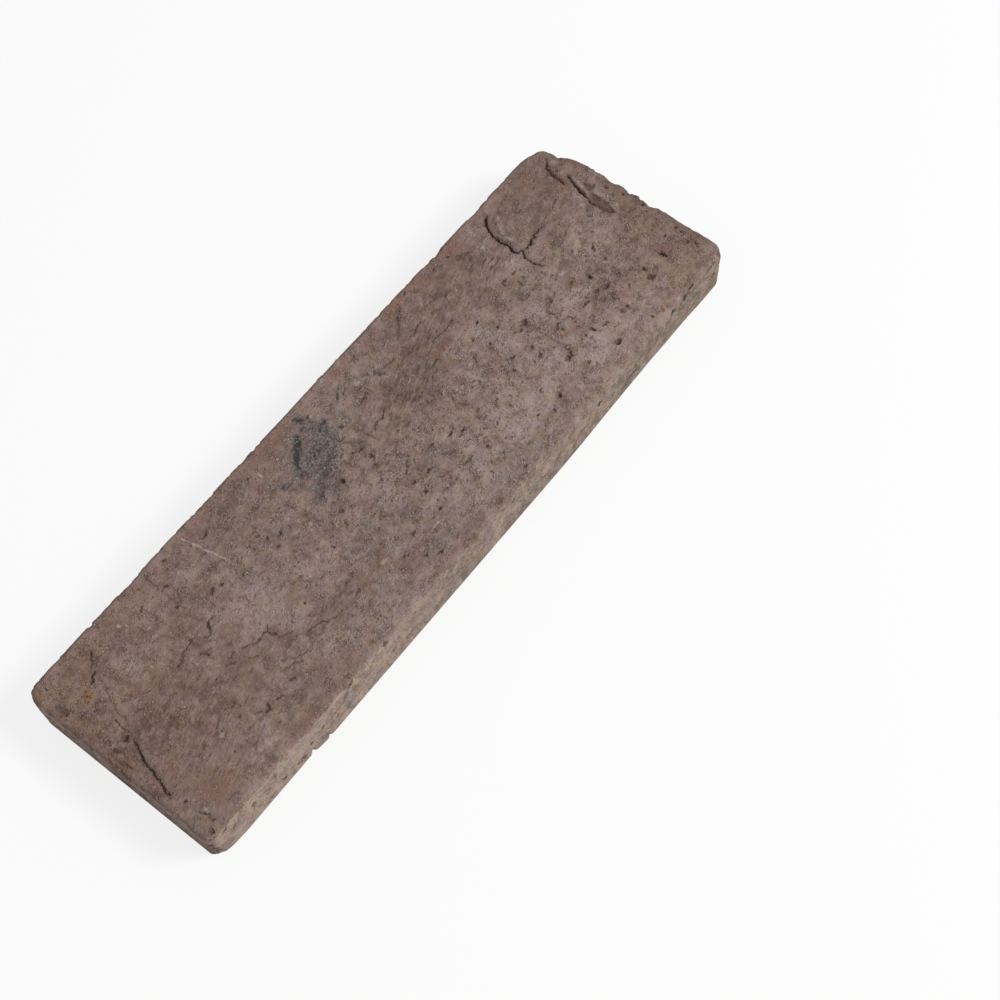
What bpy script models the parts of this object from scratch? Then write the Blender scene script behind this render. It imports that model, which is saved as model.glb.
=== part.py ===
"""Brick slip: one piece of fired clay that lies on its flat back with its weathered face up.

X runs along the length from the near end (-X) to the far end (+X), Y across to the left side (+Y),
and Z up from the back. The origin is the centre of the back face. Metres.
"""

import math

import bmesh
import bpy
from mathutils import Matrix, Vector, noise

NAME = "brick_slip"

# Overall size
LENGTH = 0.215
WIDTH = 0.065
THICKNESS = 0.016

# How far the arris of the face is worn in from each side, and down from the face
NEAR_WEAR = 0.0016
FAR_WEAR = 0.0018
LEFT_WEAR = 0.0013
RIGHT_WEAR = 0.0024
WEAR_DROP = 0.0018

# Corner radii seen from above
NEAR_LEFT_CORNER = 0.0035
NEAR_RIGHT_CORNER = 0.0030
FAR_LEFT_CORNER = 0.0040
FAR_RIGHT_CORNER = 0.0075

# The face lies this far below its highest fold, with broad swells and smaller dents
FACE_DROP = 0.0007
SWELL = 0.00055
SWELL_SPAN = 0.030
DENT = 0.00035
DENT_SPAN = 0.0090

# How far the moulded sides and the far end wander inwards, and over what span
SIDE_WANDER = 0.0007
SIDE_SPAN = 0.018
END_WANDER = 0.0012
END_SPAN = 0.0065

# Spacing of the lines that shape the face, its folded far end and the sides
PITCH = 0.0030
FAR_END_PITCH = 0.0015
FAR_END_ZONE = 0.012
SIDE_PITCH = 0.0038
ARRIS_SHARES = (0.3, 0.62)

# Places on the face are a distance along from the near end and across from the left side.
# A negative distance counts back from the far end or from the right side.

# Folds of clay pressed on the face: start, end, half width, height
FOLDS = (
    ((-0.0062, 0.0075), (-0.0058, 0.0310), 0.0024, 0.0010),
    ((-0.0300, 0.0050), (-0.0325, 0.0160), 0.0026, 0.0005),
    ((-0.0320, 0.0225), (-0.0250, 0.0225), 0.0022, 0.0004),
    ((-0.0470, 0.0045), (-0.0410, 0.0085), 0.0020, 0.0005),
    ((-0.0760, 0.0085), (-0.0690, 0.0035), 0.0020, 0.0005),
    ((-0.0730, 0.0120), (-0.0560, 0.0115), 0.0018, 0.0004),
    ((-0.0720, 0.0180), (-0.0620, 0.0180), 0.0018, 0.0004),
    ((0.0050, 0.0260), (0.0020, 0.0470), 0.0022, 0.0004),
)

# Creases where one fold overlaps the next: name, path of (along, across, half width), depth
CREASES = (
    (
        "far_lip_crack",
        (
            (-0.0055, 0.0060, 0.0003),
            (-0.0075, 0.0075, 0.0005),
            (-0.0088, 0.0090, 0.0007),
            (-0.0091, 0.0112, 0.0007),
            (-0.0095, 0.0150, 0.0003),
        ),
        0.0011,
    ),
    (
        "far_lip_step",
        (
            (-0.0079, 0.0165, 0.0004),
            (-0.0083, 0.0185, 0.0006),
            (-0.0090, 0.0215, 0.0009),
            (-0.0090, 0.0250, 0.0012),
            (-0.0088, 0.0285, 0.0013),
            (-0.0092, 0.0315, 0.0012),
            (-0.0095, 0.0335, 0.0005),
        ),
        0.0013,
    ),
    (
        "flake_crack",
        (
            (-0.0305, 0.0035, 0.0003),
            (-0.0325, 0.0050, 0.0006),
            (-0.0343, 0.0072, 0.0008),
            (-0.0350, 0.0105, 0.0008),
            (-0.0355, 0.0138, 0.0007),
            (-0.0352, 0.0170, 0.0008),
            (-0.0342, 0.0197, 0.0010),
            (-0.0353, 0.0225, 0.0006),
            (-0.0347, 0.0270, 0.0003),
        ),
        0.0013,
    ),
    (
        "flake_branch",
        (
            (-0.0342, 0.0197, 0.0007),
            (-0.0320, 0.0199, 0.0006),
            (-0.0295, 0.0194, 0.0005),
            (-0.0270, 0.0189, 0.0004),
            (-0.0245, 0.0192, 0.0003),
        ),
        0.0009,
    ),
    (
        "near_crease",
        (
            (0.0110, 0.0245, 0.0003),
            (0.0090, 0.0285, 0.0006),
            (0.0070, 0.0325, 0.0007),
            (0.0057, 0.0380, 0.0007),
            (0.0046, 0.0440, 0.0006),
            (0.0036, 0.0480, 0.0003),
        ),
        0.0010,
    ),
    (
        "near_crease_end",
        (
            (0.0180, 0.0065, 0.0003),
            (0.0165, 0.0090, 0.0006),
            (0.0152, 0.0112, 0.0009),
            (0.0132, 0.0127, 0.0004),
        ),
        0.0011,
    ),
)

# Open pits in the face: along, across, half length, half width, depth
PITS = (
    (-0.0420, -0.0060, 0.0014, 0.0015, 0.0012),
    (-0.0297, -0.0255, 0.0009, 0.0013, 0.0010),
    (-0.0117, -0.0130, 0.0006, 0.0015, 0.0008),
    (-0.0645, -0.0085, 0.0013, 0.0007, 0.0008),
    (-0.0450, 0.0220, 0.0008, 0.0008, 0.0008),
    (-0.0575, -0.0205, 0.0008, 0.0007, 0.0007),
    (-0.0250, -0.0142, 0.0009, 0.0008, 0.0008),
    (-0.0520, -0.0300, 0.0008, 0.0008, 0.0007),
    (-0.0195, -0.0125, 0.0008, 0.0008, 0.0008),
    (-0.0725, -0.0090, 0.0008, 0.0007, 0.0007),
    (-0.0870, -0.0095, 0.0007, 0.0008, 0.0007),
    (0.0620, 0.0070, 0.0007, 0.0007, 0.0007),
    (0.0505, 0.0195, 0.0007, 0.0006, 0.0006),
    (0.0465, -0.0268, 0.0030, 0.0007, 0.0008),
    (0.0620, -0.0165, 0.0029, 0.0007, 0.0007),
)
PIT_TURN = math.radians(23)

# Chips broken from the edges, each the shape of an egg: the end that it is near (+1 far, -1 near)
# and how far in from it, the side (+1 left, -1 right) and how far in from it, the height of its
# centre, and its half size each way
CHIPS = (
    (1, -0.0012, 1, 0.0036, THICKNESS, (0.0056, 0.0056, 0.0060)),
    (-1, -0.0010, -1, -0.0010, 0, (0.0064, 0.0044, 0.0083)),
    (1, -0.0010, -1, -0.0010, 0, (0.0085, 0.0065, 0.0070)),
    (-1, 0.0405, -1, -0.0010, 0, (0.0050, 0.0026, 0.0036)),
    (-1, 0.0190, -1, -0.0010, 0, (0.0125, 0.0022, 0.0026)),
    (1, 0.0200, -1, -0.0010, 0, (0.0150, 0.0036, 0.0042)),
)

# Fired clay
CLAY_COLOUR = (0.216, 0.146, 0.122, 1.0)
CLAY_ROUGHNESS = 0.95


def spot(along, across):
    """X and Y of a place on the face."""
    x = along - LENGTH / 2 if math.copysign(1, along) > 0 else along + LENGTH / 2
    y = WIDTH / 2 - across if across > 0 else -WIDTH / 2 - across
    return x, y


def uneven(distance, span, row):
    """A smooth uneven wave between 0 and 1, with a different one for each row."""
    return min(1, max(0, 0.5 + noise.noise((distance / span, row, 0.5))))


def distance_to_line(x, y, start, end):
    line = Vector(end) - Vector(start)
    share = (Vector((x, y)) - Vector(start)).dot(line) / line.length_squared
    nearest = Vector(start) + min(1, max(0, share)) * line
    return math.hypot(x - nearest.x, y - nearest.y)


def face_height(x, y):
    """Height of the weathered face, which never rises past the thickness."""
    along = x + LENGTH / 2
    across = WIDTH / 2 - y
    height = THICKNESS - FACE_DROP
    height += SWELL * noise.noise((along / SWELL_SPAN, across / SWELL_SPAN, 0.5))
    height += DENT * noise.noise((along / DENT_SPAN, across / DENT_SPAN, 7.5))
    for start, end, half_width, rise in FOLDS:
        gap = distance_to_line(x, y, spot(*start), spot(*end))
        height += rise * math.exp(-((gap / half_width) ** 2))
    return min(THICKNESS, height)


def worn(x, y, z):
    """A point of the plain block, drawn in where the arrises of the face are worn round."""
    wear = (NEAR_WEAR if x < 0 else FAR_WEAR, RIGHT_WEAR if y < 0 else LEFT_WEAR, WEAR_DROP)
    inset = (LENGTH / 2 - abs(x), WIDTH / 2 - abs(y), THICKNESS - z)
    over = Vector([max(0, 1 - i / w) for i, w in zip(inset, wear, strict=True)])
    if over.length == 0:
        return x, y, z
    over *= max(over) / over.length
    held = [w * (1 - o) if o else i for i, w, o in zip(inset, wear, over, strict=True)]
    return (
        math.copysign(LENGTH / 2 - held[0], x),
        math.copysign(WIDTH / 2 - held[1], y),
        THICKNESS - held[2],
    )


def cornered(x, y):
    """A point of the square outline, drawn in to the radius of its corner."""
    left, far = y > 0, x > 0
    if far:
        radius = FAR_LEFT_CORNER if left else FAR_RIGHT_CORNER
    else:
        radius = NEAR_LEFT_CORNER if left else NEAR_RIGHT_CORNER
    centre = Vector((LENGTH / 2 - radius, WIDTH / 2 - radius))
    over = Vector((abs(x), abs(y))) - centre
    if min(over) <= 0:
        return x, y
    point = centre + over * max(over) / over.length
    return math.copysign(point.x, x), math.copysign(point.y, y)


def wandered(x, y):
    """The outline pulled inwards, unevenly, as moulded clay is."""
    side = SIDE_WANDER * uneven(x + LENGTH / 2, SIDE_SPAN, math.copysign(3.5, y))
    end = END_WANDER * uneven(WIDTH / 2 - y, END_SPAN, 8.5) if x > 0 else 0
    return x - end * max(0, x) / (LENGTH / 2), y - side * y / (WIDTH / 2)


def steps(start, stop, pitch):
    """Even places from start up to, but without, stop."""
    count = max(1, round((stop - start) / pitch))
    return [start + (stop - start) * i / count for i in range(count)]


def arris(edge, wear):
    """Places across a worn arris, from its inner line out towards the edge."""
    return [edge + wear * share for share in (1, *reversed(ARRIS_SHARES))]


def chipped(point):
    """A point of the outside, pushed in to the hollow of the chip that it falls in."""
    for end, in_along, side, in_across, height, half_sizes in CHIPS:
        centre = Vector((end * (LENGTH / 2 - in_along), side * (WIDTH / 2 - in_across), height))
        out = point - centre
        share = Vector([o / h for o, h in zip(out, half_sizes, strict=True)]).length
        if 0 < share < 1:
            point = centre + out / share
    return point


def slice_block(bm, places, axis):
    """Score the whole block at each place along an axis."""
    normal = Vector([float(i == axis) for i in range(3)])
    for place in places:
        geometry = bm.verts[:] + bm.edges[:] + bm.faces[:]
        bmesh.ops.bisect_plane(bm, geom=geometry, plane_co=normal * place, plane_no=normal)


def merge_back(bm):
    """Leave the flat back as one strip from side to side between each pair of lines."""
    flat = [f for f in bm.faces if f.normal.z < -0.99]
    inner = [e for e in bm.edges if all(f in flat for f in e.link_faces)]
    lengthwise = [e for e in inner if abs((e.verts[0].co - e.verts[1].co).x) > PITCH / 8]
    bmesh.ops.dissolve_edges(bm, edges=lengthwise, use_verts=True)


def clay_material():
    material = bpy.data.materials.new("fired_clay")
    material.use_nodes = True
    shader = material.node_tree.nodes["Principled BSDF"]
    shader.inputs["Base Color"].default_value = CLAY_COLOUR
    shader.inputs["Roughness"].default_value = CLAY_ROUGHNESS
    shader.inputs["Metallic"].default_value = 0.0
    return material


def add_object(name, mesh, collection):
    made = bpy.data.objects.new(name, mesh)
    collection.objects.link(made)
    return made


def add_block(collection):
    """The moulded clay block with its worn arrises, uneven outline and swelling face."""
    bm = bmesh.new()
    size = Matrix.Diagonal((LENGTH, WIDTH, THICKNESS, 1))
    bmesh.ops.create_cube(bm, size=1, matrix=Matrix.Translation((0, 0, THICKNESS / 2)) @ size)
    near, far, fold = -LENGTH / 2, LENGTH / 2, LENGTH / 2 - FAR_END_ZONE
    slice_block(bm, arris(near, NEAR_WEAR)[1:] + steps(near + NEAR_WEAR, fold, PITCH), 0)
    slice_block(bm, steps(fold, far - FAR_WEAR, FAR_END_PITCH) + arris(far, -FAR_WEAR), 0)
    right, left = -WIDTH / 2, WIDTH / 2
    slice_block(bm, arris(right, RIGHT_WEAR)[1:] + arris(left, -LEFT_WEAR), 1)
    slice_block(bm, steps(right + RIGHT_WEAR, left - LEFT_WEAR, PITCH), 1)
    slice_block(bm, steps(0, THICKNESS - WEAR_DROP, SIDE_PITCH)[1:] + arris(THICKNESS, -WEAR_DROP), 2)
    merge_back(bm)
    for vert in bm.verts:
        x, y, z = worn(*vert.co)
        x, y = wandered(*cornered(x, y))
        vert.co = chipped(Vector((x, y, z * face_height(x, y) / THICKNESS)))
    bmesh.ops.triangulate(bm, faces=bm.faces[:])
    bmesh.ops.recalc_face_normals(bm, faces=bm.faces[:])
    mesh = bpy.data.meshes.new(NAME)
    bm.to_mesh(mesh)
    bm.free()
    mesh.materials.append(clay_material())
    return add_object(NAME, mesh, collection)


def crease_tube(name, path, depth, collection):
    """A tapering tube that follows a crease, sunk to the crease's depth where it is widest."""
    curve = bpy.data.curves.new(name, "CURVE")
    curve.dimensions = "3D"
    curve.bevel_depth = 1
    curve.bevel_resolution = 2
    curve.use_fill_caps = True
    spline = curve.splines.new("POLY")
    spline.points.add(len(path) - 1)
    widest = max(half_width for _, _, half_width in path)
    for point, (along, across, half_width) in zip(spline.points, path, strict=True):
        x, y = spot(along, across)
        sunk = depth * half_width / widest
        point.co = (x, y, face_height(x, y) - sunk + half_width, 1)
        point.radius = half_width
    drawn = add_object(name, curve, collection)
    seen = drawn.evaluated_get(bpy.context.evaluated_depsgraph_get())
    mesh = bpy.data.meshes.new_from_object(seen)
    bpy.data.objects.remove(drawn)
    bm = bmesh.new()
    bm.from_mesh(mesh)
    bmesh.ops.remove_doubles(bm, verts=bm.verts[:], dist=1e-6)
    bmesh.ops.recalc_face_normals(bm, faces=bm.faces[:])
    bm.to_mesh(mesh)
    bm.free()
    return add_object(name, mesh, collection)


def pit_lumps(collection):
    """Every pit as a flattened ball, half above the face and turned its own way."""
    bm = bmesh.new()
    for i, (along, across, half_length, half_width, depth) in enumerate(PITS):
        x, y = spot(along, across)
        place = Matrix.Translation((x, y, face_height(x, y)))
        place @= Matrix.Rotation(PIT_TURN * math.sin(i), 4, "Z")
        size = Matrix.Diagonal((half_length, half_width, depth, 1))
        bmesh.ops.create_icosphere(bm, subdivisions=2, radius=1, matrix=place @ size)
    mesh = bpy.data.meshes.new("pits")
    bm.to_mesh(mesh)
    bm.free()
    return add_object("pits", mesh, collection)


def cut(block, cutter):
    cutter.hide_render = True
    cutter.display_type = "WIRE"
    modifier = block.modifiers.new(cutter.name, "BOOLEAN")
    modifier.operation = "DIFFERENCE"
    modifier.solver = "EXACT"
    modifier.object = cutter


def add_collection(name):
    collection = bpy.data.collections.new(name)
    bpy.context.scene.collection.children.link(collection)
    return collection


def main():
    for old in list(bpy.data.objects):
        bpy.data.objects.remove(old)
    block = add_block(add_collection(NAME))
    cutters = add_collection("cutters")
    for name, path, depth in CREASES:
        cut(block, crease_tube(name, path, depth, cutters))
    cut(block, pit_lumps(cutters))


main()
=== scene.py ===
"""Dresses the brick slip: its weathered clay with folds, creases, pits, chips and stains, laid on a
pale floor under soft light, with a camera that looks down along the slip."""

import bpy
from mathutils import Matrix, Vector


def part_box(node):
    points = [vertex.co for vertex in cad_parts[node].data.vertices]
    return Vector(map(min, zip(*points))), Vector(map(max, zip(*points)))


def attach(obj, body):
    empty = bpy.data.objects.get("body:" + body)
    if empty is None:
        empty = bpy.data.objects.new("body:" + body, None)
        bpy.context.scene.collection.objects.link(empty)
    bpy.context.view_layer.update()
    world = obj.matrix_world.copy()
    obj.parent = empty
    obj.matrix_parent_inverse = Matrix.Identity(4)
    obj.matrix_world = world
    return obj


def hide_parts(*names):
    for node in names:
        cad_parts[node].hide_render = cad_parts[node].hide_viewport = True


bl_info = {
    "name": "Brick slip",
    "version": (1, 0, 0),
    "blender": (4, 5, 0),
    "location": "View3D > Sidebar > Brick slip",
    "description": "Adds a weathered fired-clay brick slip and a plain studio",
    "category": "Add Mesh",
}

import math

import bpy
import numpy as np
from mathutils import Matrix, Vector, noise

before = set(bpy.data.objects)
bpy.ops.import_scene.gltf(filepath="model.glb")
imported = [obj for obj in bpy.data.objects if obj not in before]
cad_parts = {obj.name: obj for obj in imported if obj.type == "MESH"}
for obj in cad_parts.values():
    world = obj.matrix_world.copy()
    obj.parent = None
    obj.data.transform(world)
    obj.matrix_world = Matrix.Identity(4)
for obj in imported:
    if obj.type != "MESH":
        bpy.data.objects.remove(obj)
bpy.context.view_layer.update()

NODE = "brick_slip"
BODY = "root"
MM = 0.001

LOW, HIGH = (Vector(corner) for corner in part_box(NODE))
LENGTH = HIGH.x - LOW.x
WIDTH = HIGH.y - LOW.y
THICKNESS = HIGH.z - LOW.z
HALF_LENGTH_MM = LENGTH / 2 / MM
HALF_WIDTH_MM = WIDTH / 2 / MM
THICKNESS_MM = THICKNESS / MM

# Places on the clay are in millimetres: x from the middle towards the far end, y from the middle
# towards the left side, z up from the back.

# How far the left side stands in from the block at places along it
LEFT_SIDE = (
    (-107, 0.4), (-104, 0.1), (-100, -0.1), (-96, -0.3), (-94, -0.2), (-92.6, 0), (-91, -0.3),
    (-84.4, -0.3), (-83.2, 0.4), (-82.2, -0.3), (-73.5, -0.3), (-71, 0.1), (-66, 0), (-60, -0.3),
    (-36, -0.3), (-23, -0.2), (0, -0.3), (20, -0.2), (44, -0.3), (52, -0.3), (56, 0), (58.6, 0.4),
    (61, -0.2), (73, -0.3), (75, 0.3), (77, 0.1), (81, 0), (84, -0.3), (95, -0.3), (98, 0), (101, 0.5),
    (103, 1.2), (107, 1.9),
)
# The same for the right side
RIGHT_SIDE = (
    (-107, -0.1), (-96, -0.3), (-80, -0.2), (-62, -0.3), (-40, -0.2), (-18, -0.3), (5, -0.2),
    (28, -0.3), (52, -0.2), (70, -0.3), (88, -0.2), (100, -0.3), (107, -0.3),
)
# How much further in the foot of the right side stands than its top
RIGHT_FOOT = (
    (-107.5, 2.3), (-105, 1.3), (-102, 0.8), (-98, 0.7), (-76, 0.7), (-72.5, 0.8), (-69, 0.5),
    (-66, 0.2), (-63, 0), (0, 0), (20, 0.1), (42, 0.4), (60, 0.9), (73, 1.2), (80, 1.1), (88, 1.2),
    (98, 1.1), (107.5, 1.2),
)
# How far the ragged far end stands in from the block, at places across it
FAR_END = (
    (-32, 0.4), (-28, 0), (-24, 0), (-20, 0.1), (-17, 0.3), (-12, 0), (-9.4, 0), (-8.2, 0.6),
    (-6.5, 0.8), (-5.2, 0.2), (-3.5, 0.4), (-2.2, 0), (-0.4, 0.2), (0.4, 0.7), (1.6, 0.3), (3, 0),
    (4.6, 0), (6, 0.6), (8, 0.5), (10, 0), (12.6, 0.2), (14, 0), (17, 0.3), (20, 0.5), (22.4, 1),
    (24.4, 2.3), (25.4, 2.7), (26.6, 2.4), (28.6, 2.5), (30, 2.8),
)
# How much paler the clay of the sides is than usual, at places along them
SIDE_TONES = ((-107, 0.3), (-95, 0.45), (-60, 0.35), (-25, 0.05), (40, -0.05), (75, -0.2), (107, -0.3))
# How strongly the right side shows its layers, at places along it
LAYERING = ((-108, 0.6), (-20, 0.2), (30, 0.5), (60, 2.0), (107, 2.6))

# Corner radii from above, by end and side, and how far the arris of the face is worn back from
# each side and down from the face
CORNER_RADII = {(-1, 1): 3.4, (-1, -1): 2.6, (1, 1): 3.0, (1, -1): 3.6}
WEAR_IN = {"near": 0.9, "far": 0.6, "left": 0.35, "right": 2.0}
WEAR_DOWN = 1.6
# How far the face lies below the top of the block
FACE_DROP = 0.6
# Bites out of the edges: depth, span and seed of each noise, and what is taken off it
NIBBLES = ((0.8, 1.4, 11, 0.05), (0.4, 4.0, 12, 0.0))

# Chips off the edges: centre, then half size each way
CHIPS = (
    ((109, 30.4, 16.5), (5.2, 5, 4.5)),
    ((-109.6, -34.2, -1), (6.4, 4.6, 8.6)),
    ((109.5, -34.6, -2), (5, 3.8, 5.6)),
    ((109, -33, 16.8), (3.6, 3.4, 3.4)),
    ((-71, -33.9, 0.4), (1.1, 2.8, 3.4)),
    ((-65.1, -33.8, -0.4), (0.8, 2.3, 2.3)),
    ((-83.1, 33.3, 15), (0.9, 1.5, 4)),
    ((74.9, 33.6, 15), (1.3, 1.6, 4)),
    ((108.6, -7.2, 15.5), (1.6, 1.3, 3.5)),
    ((108.4, 0.3, 15.5), (1.3, 1, 3)),
    ((108.6, 7.2, 15.5), (2, 1.2, 3)),
)

# Creases and cracks: depth, darkness of the painted shade in them, how far the clay beyond it
# steps up, and its path as x, y and half width
CREASES = (
    (0.9, 0.6, 0.3, (
        (102.6, 27.4, 0.3), (101.2, 26.2, 0.4), (99.9, 25, 0.4), (99, 23.6, 0.4), (98.7, 22.2, 0.5),
        (98.5, 20.6, 0.42), (98.3, 19, 0.4), (98.3, 17.5, 0.24),
    )),
    (1.1, 0.7, 0.4, (
        (100.9, 18.2, 0.12), (100.1, 16.4, 0.2), (99.6, 14.6, 0.26), (99.1, 13, 0.3),
        (98.7, 11.4, 0.36), (98.3, 9.8, 0.34), (98, 8.2, 0.3), (97.9, 6.4, 0.3), (97.8, 4.4, 0.34),
        (98, 2.4, 0.3), (98.5, 0.8, 0.24),
    )),
    (1.1, 0.8, 0.45, (
        (76.8, 28.7, 0.2), (75.9, 28.1, 0.5), (75, 27.6, 0.4), (74, 26.6, 0.42), (73.2, 25, 0.34),
        (72.7, 23.6, 0.46), (72.4, 22.2, 0.4), (72.3, 20.8, 0.5), (72, 19.4, 0.4), (72.3, 17.6, 0.42),
        (72.3, 16.2, 0.5), (72, 15, 0.55), (72.2, 13.8, 0.3),
    )),
    (0.7, 0.6, 0.2, ((72.2, 13.5, 0.24), (74, 13.2, 0.16), (75.2, 12.7, 0.24))),
    (1, 0.95, 0.15, (
        (75.2, 12.6, 0.2), (76.2, 12.7, 0.42), (77.2, 13.1, 0.5), (78.4, 13.3, 0.34),
        (79.6, 13.7, 0.24), (81.2, 13.5, 0.26), (83.2, 13.4, 0.12),
    )),
    (0.8, 0.75, 0.3, (
        (73.6, 13.1, 0.18), (72.8, 12.2, 0.3), (72.1, 10.8, 0.34), (72, 9.2, 0.26), (72.3, 7.7, 0.3),
        (72.8, 6.2, 0.2), (73.2, 5, 0.12),
    )),
    (0.5, 0.4, 0.2, ((-98.1, 9, 0.2), (-98.3, 6, 0.3), (-98.4, 3.6, 0.26), (-99, 1.2, 0.3))),
    (0.8, 0.75, 0.3, (
        (-99.2, 0.8, 0.2), (-99.9, -0.6, 0.3), (-100.5, -2.2, 0.28), (-101.1, -3.8, 0.3),
        (-101.5, -4.8, 0.46), (-101.9, -6.2, 0.44), (-102.1, -8, 0.28), (-102.8, -10.2, 0.3),
        (-103.2, -12, 0.4), (-103.7, -13.4, 0.36), (-104, -14.6, 0.26), (-104.2, -16.2, 0.16),
    )),
    (0.5, 0.45, 0.2, (
        (-88.4, 27.2, 0.16), (-89.2, 26.3, 0.36), (-90.1, 25.2, 0.34), (-91.4, 23.8, 0.2),
    )),
    (0.7, 0.75, 0.2, ((-91.6, 22.4, 0.2), (-92.6, 22, 0.4), (-93.4, 21.4, 0.5), (-94.3, 20.7, 0.24))),
    (0.2, 0.34, 0.1, ((-92.6, 20.6, 0.5), (-93.4, 17, 0.6), (-94.8, 13.4, 0.5), (-96, 10.6, 0.3))),
)
# Smooth hollows: depth, darkness of the painted shade in them, and the same kind of path
HOLLOWS = (
    (0.8, 0.5, (
        (99.8, 9.2, 0.9), (99.6, 7.4, 1.2), (99.3, 5.2, 1.3), (99.1, 3.2, 1.2), (98.9, 1.6, 1),
        (98.9, 0.6, 0.6),
    )),
    (0.9, 0.8, ((98.8, 6.6, 0.3), (98.4, 4.6, 0.5), (98.3, 2.4, 0.7), (98.8, 0.8, 0.5))),
    (0.5, 0.6, ((101.7, 13, 0.2), (101.8, 11.8, 0.7), (101.4, 11, 0.9), (102.9, 10.7, 0.5))),
    (0.4, 0.55, ((-104.8, 23.6, 0.5), (-104.4, 21.6, 1), (-104.3, 20.2, 0.7))),
    (0.4, 0.18, ((-46, -12, 1), (-41, -13.4, 1.6), (-36, -13.4, 1.2), (-31.5, -13, 0.8))),
    (0.35, 0.14, ((60.5, 27.4, 0.5), (62, 23.5, 1.4), (65.4, 21, 1.4), (67, 17.6, 0.8))),
)
# Folds of clay that stand up, with painted highlight along their tops, and one pale scratch: rise, paleness
# and path
FOLDS = (
    (0.7, 0.45, ((101.4, 17.8, 0.3), (100.9, 15.4, 0.6), (100.3, 12.8, 0.6), (99.4, 10.2, 0.5))),
    (0.05, 1.45, ((-50.4, 30, 0.25), (-49.2, 24.6, 0.34), (-48.4, 20, 0.34), (-47.5, 16.2, 0.25))),
    (0.4, 0.4, ((102.2, 9.2, 0.5), (102.5, 6.6, 0.9), (102.1, 3.6, 0.9), (101.2, 0.8, 0.6))),
    (0.4, 0.2, ((102.6, 25.4, 0.8), (101.2, 22.4, 1.1), (100.8, 19.6, 0.9))),
    (0.5, 0.25, ((104.9, 24, 0.5), (105.8, 20, 0.7), (106.2, 15, 0.6), (106, 10, 0.5))),
    (0.4, 0.3, ((78, 25.8, 0.6), (75.4, 23.4, 0.8), (74.4, 19.6, 0.8), (74.3, 15.6, 0.6))),
)
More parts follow.
